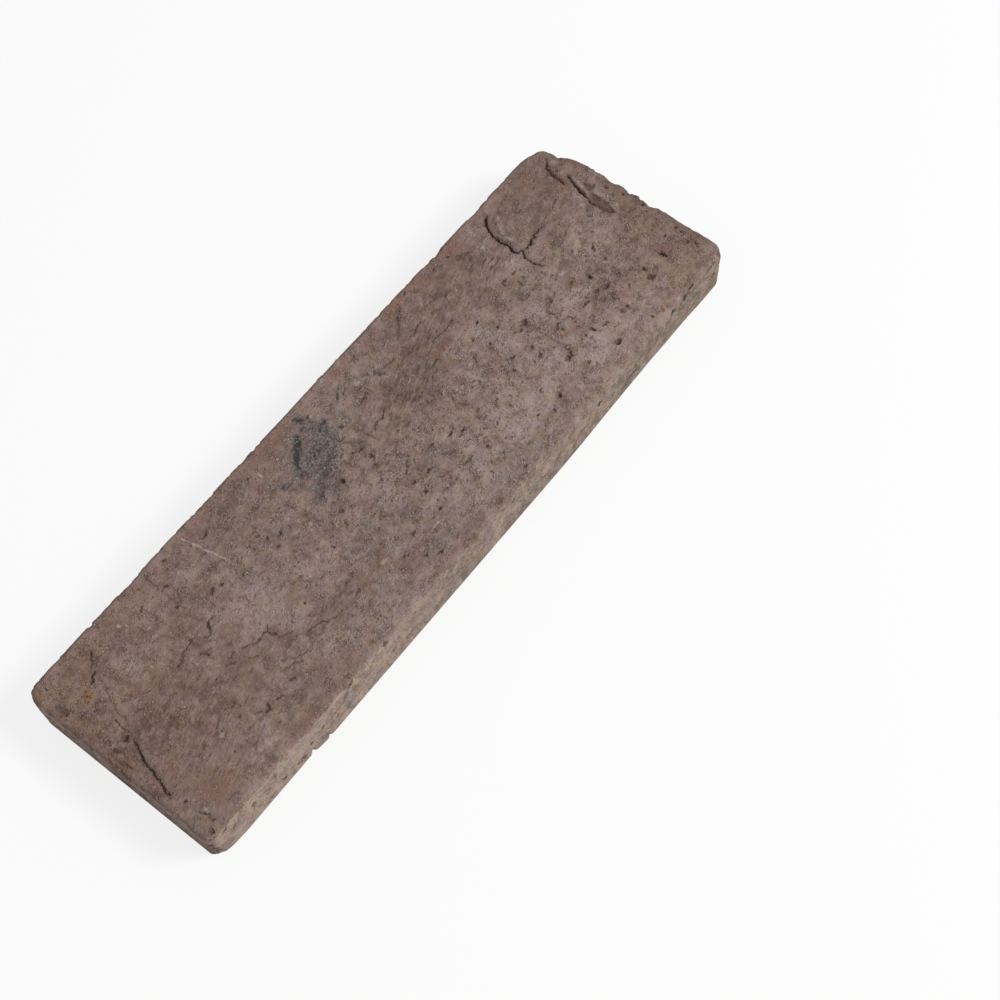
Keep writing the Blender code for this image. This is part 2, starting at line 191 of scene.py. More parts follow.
# Hair cracks: depth, darkness of the painted shade in them, and path
HAIR_CRACKS = (
    (0.4, 0.85, ((-104, 3.4, 0.24), (-103.5, 1.3, 0.4), (-103, 0.3, 0.26))),
    (0.4, 0.8, ((-105.7, 0.3, 0.26), (-105.2, -2.1, 0.45), (-104.9, -3.8, 0.28))),
    (0.4, 0.85, ((-102.9, -24.9, 0.24), (-102, -27.1, 0.4), (-102, -29.5, 0.4))),
    (0.3, 0.55, ((-100.7, 10.1, 0.16), (-99.4, 8.8, 0.22))),
    (0.3, 0.55, ((-88.5, 0.6, 0.14), (-86.2, 1.4, 0.2), (-83.8, 1.2, 0.14))),
    (0.5, 0.75, (
        (-64.2, -3.6, 0.12), (-62.5, -4.5, 0.2), (-60.8, -5.8, 0.24), (-59, -6, 0.22),
        (-57.4, -5.4, 0.24), (-56.3, -6.6, 0.26), (-55.7, -8.4, 0.3),
    )),
    (0.4, 0.7, ((-56.8, -6, 0.2), (-54.9, -5, 0.14))),
    (0.4, 0.6, ((-55.9, -9.4, 0.2), (-54.4, -10.4, 0.2), (-52.6, -11.4, 0.14))),
    (0.5, 0.8, ((-65.3, -7.2, 0.22), (-64.4, -7.6, 0.24), (-63.2, -8.5, 0.16))),
    (0.5, 0.7, ((-69.9, -3.7, 0.14), (-68, -4.9, 0.18))),
    (0.4, 0.6, ((-74.2, -5.4, 0.14), (-72.4, -7.1, 0.16))),
    (0.6, 0.8, ((-74.6, 7.6, 0.16), (-73, 7.4, 0.2), (-71.4, 7.7, 0.24), (-70, 8.2, 0.38))),
    (0.6, 0.8, ((-71.8, 3.5, 0.2), (-70.8, 2.8, 0.28), (-70.5, 1.6, 0.2))),
    (0.7, 0.8, (
        (-67.9, 5.8, 0.2), (-66.1, 5.4, 0.36), (-65, 6.6, 0.3), (-64.2, 8.1, 0.25), (-61.6, 8.1, 0.14),
    )),
    (0.4, 0.6, ((-77.6, 6, 0.2), (-76.4, 6.3, 0.28), (-75, 6.8, 0.18))),
    (0.4, 0.6, ((-88.3, 7.8, 0.2), (-86.8, 7.1, 0.16))),
    (0.4, 0.6, ((-92.6, 6.5, 0.18), (-91, 4.9, 0.18))),
    (0.4, 0.6, ((-96.2, 10, 0.2), (-96.5, 6.8, 0.22))),
    (0.4, 0.6, ((-84.9, 2.3, 0.2), (-83.3, 1.9, 0.2))),
    (0.3, 0.5, ((-82, 2.1, 0.14), (-81.1, 1.2, 0.14))),
    (0.4, 0.6, ((-78.9, -11.9, 0.18), (-77.4, -12.4, 0.2), (-75.8, -12.6, 0.14))),
    (0.5, 0.9, ((99.2, 23, 0.2), (98.8, 22.2, 0.4), (98.6, 21.5, 0.2))),
    (0.5, 0.75, ((-79.2, -20.1, 0.18), (-77.4, -20.4, 0.22))),
    (0.5, 0.75, ((-75.4, -18.5, 0.18), (-74.1, -19.4, 0.22))),
    (0.6, 0.8, ((-73.2, -20.5, 0.18), (-71.7, -20.7, 0.26), (-70.9, -19.5, 0.26))),
    (0.6, 0.8, ((-68.7, -20.4, 0.26), (-67.2, -21.1, 0.28))),
    (0.6, 0.8, ((-63, -19.8, 0.28), (-61.4, -20.4, 0.18))),
    (0.3, 0.5, ((-62.2, -16.8, 0.14), (-59.5, -17.4, 0.18), (-57, -19, 0.14))),
    (0.4, 0.55, ((-58, -16.5, 0.14), (-55, -18.2, 0.18), (-50.4, -18, 0.14))),
    (0.5, 0.65, (
        (-50.2, -14.8, 0.16), (-48, -15, 0.2), (-46, -15.8, 0.22), (-44.4, -17, 0.22),
        (-42.4, -17.9, 0.16),
    )),
    (0.4, 0.6, ((-40.6, -18, 0.16), (-38.8, -18.5, 0.2))),
    (0.4, 0.6, ((-36.2, -18.1, 0.18), (-33, -17.6, 0.2))),
    (0.3, 0.45, ((-33.8, -20.4, 0.2), (-31.4, -20.8, 0.16))),
    (0.3, 0.55, ((-64.2, 31, 0.2), (-64.7, 24, 0.2), (-64.8, 19, 0.24), (-64.7, 15.6, 0.2))),
    (0.3, 0.6, ((55.8, -4, 0.14), (55.7, -11, 0.2), (55.8, -17.4, 0.24))),
    (0.3, 0.6, ((62.2, -4.4, 0.14), (62.1, -9, 0.2))),
    (0.2, 0.26, ((71.2, 6.4, 0.14), (71.3, 2, 0.2))),
    (0.4, 0.55, ((2, 14.6, 0.14), (2.8, 11.2, 0.22), (3.2, 9.2, 0.2), (3.9, 7.2, 0.14))),
    (0.6, 0.7, ((-3.2, 23.3, 0.2), (-2, 22.4, 0.3), (0.4, 22.3, 0.2))),
)
# Smears left where the clay was dragged along the mould: depth, darkness of the painted shade in them, and
# path
DRAG_MARKS = (
    (0.6, 0.42, (
        (30.4, 23.2, 0.4), (32, 24.4, 0.9), (33.6, 25.6, 0.7), (35.8, 27.4, 0.4), (37.6, 28.4, 0.6),
        (39, 29.7, 0.3),
    )),
    (0.5, 0.7, ((34.6, 20.6, 0.16), (36.2, 21.1, 0.26), (38.6, 21.5, 0.16))),
    (0.5, 0.65, ((42.2, 20.9, 0.2), (44.2, 20.8, 0.24))),
    (0.5, 0.65, ((48.8, 21.1, 0.2), (51.6, 21.6, 0.26))),
    (0.5, 0.7, ((35.8, 14.9, 0.16), (38, 15.1, 0.24), (40.4, 14.5, 0.22), (44.4, 14.9, 0.16))),
    (0.5, 0.75, ((30.2, 9.8, 0.18), (31.4, 10.2, 0.3), (32.6, 10.2, 0.16))),
    (0.5, 0.7, ((36.3, 7.2, 0.18), (37.4, 7.7, 0.26), (38.6, 7.4, 0.16))),
    (0.5, 0.7, ((26.8, 7.5, 0.16), (28.6, 8.1, 0.24), (30.4, 8.5, 0.14))),
    (0.5, 0.7, ((19.8, 6.5, 0.16), (21.2, 6.9, 0.24), (23, 7.1, 0.14))),
    (0.6, 0.8, ((5.3, 9.8, 0.16), (7.2, 10.8, 0.3), (9.6, 10.8, 0.24), (11.6, 11.9, 0.16))),
    (0.5, 0.7, ((9.4, 18.1, 0.14), (11, 18.9, 0.22), (13.4, 19.4, 0.14))),
    (0.6, 0.75, ((18.4, 21.3, 0.3), (19.4, 20, 0.5), (20.2, 19.1, 0.3))),
    (0.6, 0.75, ((21.8, 20.4, 0.3), (23.2, 20.2, 0.35), (25.2, 20, 0.2))),
    (0.5, 0.65, ((12.2, 21.2, 0.16), (13.6, 21.3, 0.24), (15.2, 21.9, 0.16))),
    (0.5, 0.6, ((6.2, 24.2, 0.16), (7.4, 25.4, 0.22), (8, 25.6, 0.14))),
    (0.5, 0.6, ((8.2, 23.2, 0.16), (9.8, 24.6, 0.22), (10.6, 25.2, 0.14))),
    (0.4, 0.6, ((23.8, -3, 0.18), (24.6, -1.8, 0.24), (25.2, -1, 0.14))),
    (0.5, 0.75, ((38, 0.6, 0.25), (38.5, 1.6, 0.32), (39, 2.8, 0.2))),
    (0.4, 0.55, (
        (60.2, 28, 0.16), (62.6, 26.2, 0.24), (63.8, 25.4, 0.26), (66.8, 24.2, 0.2), (67.4, 21.8, 0.14),
    )),
    (0.4, 0.55, ((84, 6.6, 0.14), (86.4, 7.4, 0.24), (88.4, 8.2, 0.14))),
    (0.4, 0.25, ((84.6, 14.4, 0.14), (88.6, 15.4, 0.26), (90.6, 15.6, 0.3), (93.2, 16.6, 0.14))),
    (0.5, 0.7, ((85.4, -3.4, 0.3), (86, -2.4, 0.45), (87.2, -1.5, 0.2))),
    (0.5, 0.75, ((61.4, 9.6, 0.2), (61.9, 10.7, 0.35), (63.2, 11.1, 0.25))),
    (0.5, 0.7, ((62.6, -9.8, 0.2), (63.8, -10.9, 0.32), (65.2, -12.2, 0.22))),
    (0.4, 0.6, ((86.2, -33, 0.2), (89, -32.6, 0.28), (91.4, -32.1, 0.3), (92, -32.4, 0.15))),
    (0.4, 0.5, ((52, 11.6, 0.2), (52.8, 10.8, 0.3), (53.6, 10.2, 0.2))),
    (0.3, 0.45, ((54.6, 9.2, 0.14), (56, 7.4, 0.22), (56.6, 5.8, 0.14))),
)
# Black marks in the soot: strength and path
CHAR_MARKS = (
    (1.7, (
        (-16, 18.6, 0.4), (-14.4, 20.4, 0.7), (-12.4, 22.3, 0.8), (-10.6, 23.8, 0.8), (-8.8, 25.3, 0.5),
    )),
    (0.35, ((-4.4, 22.6, 0.6), (-3, 20, 0.8), (-3, 17.4, 0.8), (-4.6, 14.6, 0.6))),
    (0.8, ((-5.5, 29.6, 0.5), (-4.6, 27.4, 0.6), (-6.6, 25.8, 0.5))),
    (0.4, ((-18.6, 7.8, 0.5), (-16.8, 9.6, 0.6), (-15.4, 11.4, 0.5))),
    (0.5, ((-22.8, 18.2, 0.5), (-21.4, 17.4, 0.6))),
    (0.35, ((-9.8, 17.2, 0.5), (-8.4, 15.6, 0.6), (-8.8, 13.8, 0.5))),
)

# Pits: x, y, half length, half width, turn in degrees, depth, darkness of the painted shade in them
PITS = (
    (65.5, -26.5, 1.6, 1.1, -20, 1.2, 0.85), (77.8, -7, 0.9, 1.35, 5, 1, 0.85),
    (95.8, -19.2, 0.55, 1.9, 3, 1, 0.95), (87.7, -21.3, 1.5, 0.8, -40, 0.9, 0.8),
    (43, -24, 1.4, 0.7, 15, 0.9, 0.85), (54, -18.8, 1.4, 0.8, 5, 0.9, 0.85),
    (64.9, -18.6, 0.6, 1, 20, 1, 0.95), (62.4, -18.3, 0.8, 0.5, 0, 0.6, 0.7),
    (55.2, -18.2, 0.5, 0.9, 20, 0.7, 0.75), (68.5, -20.5, 1.6, 0.6, -15, 0.6, 0.6),
    (55.8, -24, 0.5, 0.9, 10, 0.6, 0.6), (88.6, -18, 0.8, 0.8, 30, 0.7, 0.75),
    (82.2, -18.3, 0.6, 0.4, 0, 0.6, 0.8), (104.7, -17, 0.4, 0.8, 0, 0.6, 0.8),
    (104.7, -19.3, 0.35, 1, 5, 0.6, 0.75), (76.5, -21.5, 0.6, 1.2, -10, 0.6, 0.65),
    (76.2, -16.8, 0.5, 0.5, 0, 0.5, 0.6), (74.3, -21.2, 0.4, 1.1, -15, 0.4, 0.5),
    (77.8, -29.2, 0.7, 0.5, 20, 0.5, 0.7), (82.5, -33.2, 0.9, 0.4, 15, 0.5, 0.75),
    (101, -16.2, 0.7, 0.5, 0, 0.5, 0.7), (103, -22.6, 0.5, 0.9, -30, 0.5, 0.6),
    (104.5, 7.3, 0.6, 1.2, -25, 0.7, 0.85), (106.9, 11.2, 0.5, 0.9, 0, 0.6, 0.9),
    (104, -24.8, 0.3, 1.1, -40, 0.5, 0.8), (103.4, 4.2, 0.5, 0.4, 0, 0.4, 0.7),
    (106.6, -3.4, 0.5, 1.5, 8, 0.6, 0.8), (92.4, -32, 1.6, 0.35, 8, 0.6, 0.85),
    (105.2, 2, 0.7, 0.6, 0, 0.5, 0.7), (105.6, -4.8, 0.6, 0.9, 0, 0.5, 0.7),
    (90.3, 1.3, 0.5, 0.5, 0, 0.5, 0.7), (81.4, 2, 0.6, 0.9, 30, 0.4, 0.5),
    (82, 5.8, 0.7, 0.6, 0, 0.4, 0.5), (92, 4.6, 0.6, 0.5, 0, 0.4, 0.5),
    (87.4, -9.3, 0.7, 0.4, 20, 0.6, 0.8), (85, -7.5, 0.9, 0.9, 0, 0.5, 0.5),
    (70.2, -12.1, 1.7, 0.5, -5, 0.6, 0.75), (75.3, -11.9, 0.9, 0.6, -25, 0.7, 0.75),
    (78.3, -13, 1.3, 0.65, 5, 0.7, 0.8), (83, -13.4, 1, 1.2, -30, 0.5, 0.5),
    (74.3, -15.3, 0.7, 0.8, 0, 0.5, 0.5), (85.8, -2.7, 0.9, 0.5, 50, 0.5, 0.7),
    (73, -4.5, 1.2, 0.9, 20, 0.5, 0.5), (59.6, -12.2, 0.9, 0.5, -15, 0.6, 0.8),
    (60.2, -9.9, 0.8, 0.5, 10, 0.5, 0.6), (61.7, -5.5, 0.35, 1.3, 0, 0.4, 0.5),
    (55.5, -2, 1.4, 1, -15, 0.7, 0.8), (53, -3, 1, 0.5, 20, 0.8, 0.85),
    (51.2, -2, 0.9, 0.4, -20, 0.4, 0.6), (60.8, 3.6, 0.8, 1.2, 0, 0.4, 0.45),
    (64.8, 6.8, 0.5, 1.4, -15, 0.4, 0.5), (67, 7.6, 0.6, 1, 25, 0.4, 0.5),
    (64.9, 3.2, 0.5, 1, 0, 0.4, 0.5), (65, -3.4, 1.5, 1.1, 0, 0.5, 0.4),
    (67.4, -2.9, 0.8, 0.6, 0, 0.4, 0.5), (71, 3.8, 0.3, 1.7, 3, 0.3, 0.45),
    (58.5, 5.8, 0.8, 0.8, 0, 0.4, 0.45), (66.2, 10.6, 1.2, 0.5, 5, 0.5, 0.55),
    (49.8, 3, 0.8, 0.6, 15, 0.7, 0.85), (48, 8.6, 1, 0.8, 30, 0.6, 0.65),
    (47.4, 6.4, 0.6, 0.5, 0, 0.4, 0.5), (44.6, 1.5, 0.7, 0.6, 0, 0.5, 0.65),
    (42.4, 6, 0.7, 0.4, 20, 0.4, 0.6), (44.7, -6.3, 1.3, 0.8, 5, 0.8, 0.7),
    (41, -5.7, 0.8, 0.5, 0, 0.5, 0.65), (41.9, -9.3, 0.5, 0.9, 10, 0.6, 0.75),
    (50.6, -8.6, 1, 0.6, 30, 0.6, 0.65), (50.1, -11.8, 0.6, 1, 0, 0.6, 0.6),
    (32.4, -2.3, 0.7, 0.7, 0, 0.5, 0.6), (33.6, -3.8, 0.6, 0.8, 0, 0.5, 0.65),
    (34.8, -1.8, 0.5, 0.4, 0, 0.4, 0.5), (31.8, -11.2, 0.7, 0.5, 30, 0.5, 0.65),
    (32.6, -15.6, 0.6, 0.5, 0, 0.4, 0.5), (36.2, -14.9, 0.8, 0.4, 20, 0.4, 0.5),
    (41.5, -19, 1.2, 0.5, 25, 0.5, 0.65), (35, -23.3, 0.6, 0.45, 0, 0.6, 0.8),
    (38.6, -26, 1, 0.6, 30, 0.6, 0.7), (26.8, -26.2, 1.2, 1, 0, 0.4, 0.4),
    (27, -15.6, 1.6, 0.5, 25, 0.4, 0.5), (20.5, -22.6, 0.6, 0.5, 0, 0.5, 0.6),
    (20.8, -30, 0.7, 0.4, 20, 0.5, 0.7), (19.5, -17.8, 0.7, 0.6, 45, 0.6, 0.7),
    (19.2, -9.6, 1.4, 0.6, 5, 0.6, 0.7), (16.5, -7.8, 0.9, 0.4, 5, 0.5, 0.7),
    (13.6, -16.6, 1.8, 0.6, 5, 0.6, 0.7), (12.8, -17.8, 0.6, 0.7, 0, 0.4, 0.5),
    (4.8, -10.1, 1.7, 0.6, -5, 0.7, 0.8), (10.9, -5.6, 0.9, 0.5, -20, 0.6, 0.65),
    (6.4, -16, 0.6, 0.7, 0, 0.4, 0.5), (11.8, 3.9, 1.4, 0.5, -5, 0.5, 0.6),
    (0.4, -5.4, 0.8, 0.5, 30, 0.5, 0.6), (-0.9, -9, 1.1, 0.6, 10, 0.7, 0.75),
    (-0.7, -13.4, 0.9, 0.9, 40, 0.7, 0.75), (-2.4, -19.4, 1.2, 0.6, 25, 0.7, 0.75),
    (8.8, -31.2, 1.2, 1.2, 0, 0.4, 0.4), (47.8, -34.5, 1, 0.5, -10, 0.7, 0.85),
    (10, -34.2, 0.8, 0.4, 20, 0.5, 0.6), (14, -13.9, 0.6, 0.4, 10, 0.4, 0.5),
    (-11.7, 6.6, 1.3, 0.8, -10, 1.1, 0.95), (-1.4, 5.2, 0.7, 0.9, 20, 0.7, 0.8),
    (-1.7, 8.8, 0.7, 0.6, 0, 0.6, 0.75), (-3.9, 10.1, 0.8, 0.5, -20, 0.5, 0.7),
    (-2.7, 2.6, 0.8, 0.6, -30, 0.5, 0.6), (-12.2, -18.5, 1.5, 0.7, 10, 0.6, 0.65),
    (-15, -25.3, 0.8, 0.5, 0, 0.5, 0.65), (-12.2, -28, 1.6, 0.6, -10, 0.5, 0.55),
    (-18.8, 1, 0.9, 0.9, 20, 0.4, 0.6), (-16.6, -10.4, 0.9, 0.5, 0, 0.4, 0.6),
    (-19, -20.9, 1.3, 0.4, -10, 0.4, 0.5), (-28, -4.2, 0.5, 0.9, 0, 0.4, 0.6),
    (-28.3, 15, 0.9, 0.7, 0, 0.3, 0.45), (-28.6, 13.5, 0.5, 0.5, 0, 0.5, 0.7),
    (-33.6, 10, 1.6, 0.4, 3, 0.5, 0.65), (-36.3, 11.9, 0.5, 0.7, 10, 0.5, 0.6),
    (-36.6, 7.6, 0.5, 0.5, 0, 0.4, 0.55), (-26.6, 27.7, 0.7, 0.6, 20, 0.5, 0.65),
    (-29.2, 28.9, 0.8, 0.4, 20, 0.4, 0.6), (-39, 26.9, 0.6, 0.4, 30, 0.4, 0.6),
    (-45.5, 25.6, 1.2, 0.6, 15, 0.8, 0.85), (-56.4, 13, 1.2, 0.7, 15, 0.7, 0.75),
    (-53.6, 12.6, 0.7, 0.8, 0, 0.6, 0.65), (-48.4, 9.9, 0.9, 0.4, 0, 0.4, 0.5),
    (-44.6, -9, 0.7, 0.5, 30, 0.5, 0.6), (-39.2, -3, 0.6, 0.5, 0, 0.4, 0.55),
    (-50.8, -9.6, 0.9, 0.3, 20, 0.4, 0.5), (-31, -1.4, 0.6, 0.5, 0, 0.3, 0.5),
    (-45.8, -1, 0.8, 0.3, -20, 0.3, 0.5), (-20.8, -2.6, 0.6, 1.2, 10, 0.3, 0.45),
    (-59, 7.6, 0.35, 0.8, 5, 0.5, 0.65), (-63, 23.9, 0.9, 0.6, 15, 0.7, 0.75),
    (-71.8, 24.6, 1.3, 0.5, 25, 0.5, 0.55), (-65.4, 17.6, 1.1, 0.5, 30, 0.6, 0.65),
    (-60.4, -14.7, 0.5, 0.6, -20, 0.5, 0.65), (-100.3, 3, 1.2, 1, 20, 0.8, 0.8),
    (-104.6, 20.4, 0.8, 1.4, 10, 0.5, 0.6), (-102.9, 29, 0.5, 0.5, 0, 0.5, 0.7),
    (-101.8, 25.8, 0.5, 0.5, 0, 0.4, 0.6), (-103, -20.4, 0.6, 0.8, 0, 0.6, 0.7),
    (-104.4, -31, 0.9, 0.7, 10, 0.7, 0.75), (-100.2, 9.2, 0.5, 0.6, 0, 0.5, 0.65),
    (-93.2, -12.9, 0.8, 0.5, -30, 0.4, 0.5), (-102.4, 7.6, 0.5, 0.5, 0, 0.4, 0.5),
    (-90.4, -17, 0.6, 0.4, 0, 0.3, 0.4), (-85.6, -21.4, 0.5, 0.5, 0, 0.3, 0.45),
    (-68.2, 29.3, 0.6, 0.5, 0, 0.4, 0.6), (-58, 29.2, 0.7, 0.6, 0, 0.5, 0.7),
    (-40.2, -33.2, 0.8, 0.4, 5, 0.6, 0.8), (-54.5, -33.4, 0.9, 0.5, 5, 0.7, 0.8),
    (-57.6, -34.2, 0.6, 0.4, 0, 0.4, 0.6), (-93.2, -34.9, 0.9, 0.5, 0, 0.5, 0.6),
    (53.9, 29.2, 0.7, 0.7, 0, 0.5, 0.7), (60, 29, 1.2, 0.4, 5, 0.4, 0.6),
    (43.2, 31, 0.9, 0.6, 20, 0.5, 0.7), (18.4, 29.2, 0.8, 0.3, 30, 0.4, 0.5),
    (-2.8, 26.8, 1, 0.5, 60, 0.3, 0.95), (-1.2, 22.6, 1.1, 0.4, -20, 0.3, 0.95),
    (-4.6, 28, 0.8, 0.6, 0, 0.3, 0.9), (0.4, 17.4, 0.6, 0.6, 0, 0.3, 0.9),
    (-6, 12, 0.9, 0.5, 40, 0.2, 0.8), (-9.4, 13.6, 0.8, 0.5, 0, 0.2, 0.8),
    (-5.4, 17.6, 0.9, 0.4, 40, 0.2, 0.85), (-8.6, 17.8, 0.5, 0.9, 0, 0.2, 0.85),
    (-3, 15.4, 0.5, 1, 20, 0.2, 0.8), (-12.6, 11.2, 0.9, 0.5, 30, 0.2, 0.8),
    (-18.2, 8.2, 0.8, 0.5, 0, 0.2, 0.8), (-17, 16.6, 0.8, 0.5, 30, 0.2, 0.8),
)
# Pits in the long right side: x, z, half length, half height, depth, darkness of the painted shade in them
SIDE_PITS = (
    (-92.5, 9.5, 1.2, 1.2, 0.5, 0.8), (-81.6, 4.4, 0.9, 0.8, 0.5, 1), (-57, 11.2, 0.8, 0.8, 0.4, 1),
    (-54.4, 14, 0.9, 1, 0.5, 1.1), (-74.6, 3.8, 2, 1.5, 0.5, 0.6), (-40.3, 14.2, 0.8, 0.8, 0.6, 1.1),
    (49.6, 10.6, 0.7, 1.1, 0.5, 1.1), (83, 14.4, 1.1, 0.8, 0.5, 1), (66, 8, 0.8, 0.8, 0.4, 0.6),
    (-61, 6, 0.7, 0.7, 0.4, 0.8), (-102.4, 13.6, 1, 1, 0.5, 0.8), (-66, 9, 0.6, 0.6, 0.4, 0.9),
    (-70.5, 7, 0.7, 0.6, 0.4, 0.9), (12, 12, 0.8, 0.7, 0.3, 0.7), (30.6, 6.4, 1.2, 2.2, 0.3, 0.5),
    (88.6, 14.6, 1.8, 1.1, 0.4, 0.7), (100.6, 14.9, 2, 0.5, 0.5, 0.9), (101.6, 9, 1.8, 0.6, 0.5, 0.9),
    (90.6, 7, 1.1, 1.1, 0.3, 0.6), (-100, 10.4, 0.8, 0.8, 0.3, 0.8), (-84, 11.6, 0.7, 0.9, 0.3, 0.7),
    (-38.6, 6.4, 0.7, 0.9, 0.3, 0.6), (-18, 9.4, 0.7, 0.7, 0.3, 0.5), (72, 12.6, 0.9, 0.7, 0.3, 0.6),
)

# Broad swellings of the face: x, y, half size along and across, rise
SWELLINGS = (
    (101, 20, 3.4, 6, 0.25), (103.4, 6, 2.6, 7, -0.2), (103, -12, 4, 8, 0.2), (94, 10, 4.5, 14, -0.35),
    (82, 20, 10, 9, 0.25), (68.5, 20, 2.4, 6, 0.3), (12, 23, 6, 3, 0.35), (26, 26, 6, 3.5, 0.3),
    (-104, 12, 3.5, 10, 0.2), (-98, 14, 4, 5, 0.25), (-50, -22, 14, 6, 0.25), (40, -12, 20, 12, 0.3),
    (30, 12, 26, 6, -0.35), (-40, -14, 12, 4, -0.25), (0, -22, 14, 6, -0.3), (-88, 8, 8, 5, -0.15),
)

# Stains, grit and specks: x, y, half size along and across, strength
SOOT_STAINS = (
    (-4.4, 18.8, 4, 4.2, 0.95), (-8.6, 15.8, 4.6, 4.4, 1.05), (-12.4, 12.2, 3.8, 3.4, 0.85),
    (-8.4, 19.2, 2.4, 2.2, 0.7), (-12.4, 18.2, 2.6, 2.6, 0.75), (-4.4, 26.2, 2.4, 4, 1.1),
    (-2.4, 22, 2.2, 2.2, 1), (-12.4, 22.8, 3.4, 1.9, 1.1), (-9.2, 25.6, 2, 1.6, 1),
    (-15.4, 19.6, 1.8, 1.8, 1), (-17, 17, 2, 2, 0.9), (-22.1, 17.9, 2, 1.5, 1.1),
    (-19.6, 12.9, 2.2, 2, 0.75), (-20.2, 7.6, 2.8, 2, 1.05), (-14.6, 5.6, 2, 1.6, 1),
    (-17, 9.6, 2.8, 2.4, 0.7), (3.4, 18.6, 3, 3, 0.8), (-10.8, 20.6, 1.1, 1, -0.5), (22, 15, 9, 4, 0.3),
    (26, 9.5, 3.5, 2.5, 0.4), (-17.4, -9, 2.4, 7, 0.6), (-17, -20, 3, 6, 0.5), (-9, -14, 2.4, 1.8, 0.6),
    (-12, -26.4, 4, 2.4, 0.65), (-30, -28, 8, 3, 0.4), (16, -28, 12, 3.5, 0.4),
    (-1, -24.5, 4, 4.5, 0.55), (30, -31, 14, 1.6, 0.35), (13, -10, 4, 5, 0.5), (7, -18, 7, 5, 0.3),
    (-44, -31, 8, 1.8, 0.5), (67, -31.5, 4, 1.6, 0.4), (7.5, 26, 5, 2.4, 0.4),
    (19.6, 20.6, 2, 1.2, 0.8), (-105, -26, 3.5, 6, 0.5), (87, -8, 6, 5, 0.3), (105.4, 2, 0.9, 1.2, 0.7),
)
RUST_STAINS = (
    (-94, -24, 8, 6, 0.85), (-99, -14, 4, 6, 0.5), (-78.4, 25, 1.6, 2.4, 1), (-77.8, 21.8, 1, 1, 0.9),
    (-70, 30, 9, 1.8, 0.6), (-14, 29.5, 14, 3, 0.8), (-26.2, 23, 1.4, 2.6, 0.9),
    (-17.4, 25.2, 1.6, 1.4, 0.9), (-45, 30, 14, 2, 0.5), (-22, -14.4, 1.6, 2, 1),
    (-23.8, -17.8, 3.2, 2, 1.1), (-20.4, -23, 2.2, 2.4, 0.9), (-24, -26, 2, 2, 0.6),
    (-42.6, 7.2, 1.8, 1.6, 0.8), (-32.4, 18.6, 2, 1.4, 0.8), (-34.2, -0.6, 1.8, 1.2, 0.8),
    (-43.6, -4, 1.4, 1.2, 0.7), (35, 11.4, 3.4, 1, 1.7), (42, 12.8, 3.4, 1.6, 0.7),
    (28, 16, 10, 3, 0.4), (14, 30, 5, 2.4, 0.9), (38, 31, 5, 2, 0.9), (36, 28, 3, 2, 0.7),
    (27.6, 21.6, 1.2, 0.9, 0.8), (51, 28, 4, 2.6, 0.8), (62, 29.2, 5, 2, 1), (60.8, 3.4, 1.2, 1.6, 1.1),
    (73, -4.5, 1.6, 1.4, 1.1), (74.3, -15.3, 1.1, 1.1, 1), (90, 27, 9, 3.4, 0.7), (96, 19, 2.4, 3, 0.8),
    (99, 17, 1, 1.4, 1), (83, 8.6, 6, 2.4, 0.6), (64, 8.8, 4, 1.6, 0.7), (57, 9.8, 3.4, 1.8, 0.8),
    (8.8, -31, 1.4, 1.4, 1.1), (28, -35, 2, 1.4, 0.9), (-68, -30.5, 8, 1.4, 0.8), (-50, -28, 5, 3, 0.5),
    (-105.6, 4, 1.6, 2.4, 0.9), (-105.6, 11, 1.4, 1.4, 0.8), (-98.4, -11.6, 0.8, 1.2, 0.8),
    (-88, 5, 8, 2.8, 0.55), (-76, 5.5, 5, 1.6, 0.5), (95.4, -10.4, 3, 1, 0.8), (99, -19, 2.4, 1.6, 0.8),
    (104.6, 3.4, 1.4, 0.9, 1), (102, -1, 1.8, 1, 0.8), (48.5, 30.6, 2.4, 1, 0.9),
    (0, -33.6, 26, 1.6, 0.45), (-30, -35, 14, 3, 0.45), (-68, -11, 1.4, 1.4, 0.8), (63, -15, 5, 3, 0.4),
    (18, -2, 2, 2, 0.5),
)
OCHRE_STAINS = (
    (90, -20, 9, 7, 0.5), (97, -8, 6, 7, 0.4), (-100, 22, 7, 9, 0.5), (-103, -8, 3, 8, 0.45),
    (-80, 28, 10, 4, 0.35), (-46, 17, 12, 7, 0.25), (-24, 22, 6, 5, 0.25), (4, 28, 4, 3, 0.5),
    (-2, 27, 2.4, 1.8, 0.7), (7.6, 3, 3, 2.4, 0.4), (48, -31, 20, 3, 0.35), (93.4, -27, 3, 2.4, 3),
    (83.8, -30.4, 1, 1.2, 1.3), (78, -30.6, 1.6, 1.2, 0.9), (60, -16, 6, 4, 0.25),
    (-32, -24, 8, 5, 0.3), (-58, -25, 6, 4, 0.3), (-90, -2, 8, 5, 0.25), (26, 14, 8, 5, 0.3),
    (-97.2, 18.2, 1.5, 1.1, 2.2), (-98.6, 17.4, 0.8, 0.7, 2), (102, -28, 4, 5, 0.3),
    (100, -12, 6, 12, 0.2),
)
STRAW_SPOTS = ((84.5, -29.9, 1.4, 0.6, 1.3), (92.8, -28, 2.3, 1.9, 0.95))
GOLD_SPOTS = (
    (-97.2, 19.4, 0.9, 0.8, 1.4), (-98.4, 17.9, 0.9, 0.6, 1.2), (81.6, -29.9, 0.7, 0.6, 0.7),
    (80.8, -30.8, 0.7, 0.5, 0.4), (-2.3, 27.2, 0.6, 0.6, 0.5), (92.4, -27.6, 2.2, 1.5, 0.3),
)
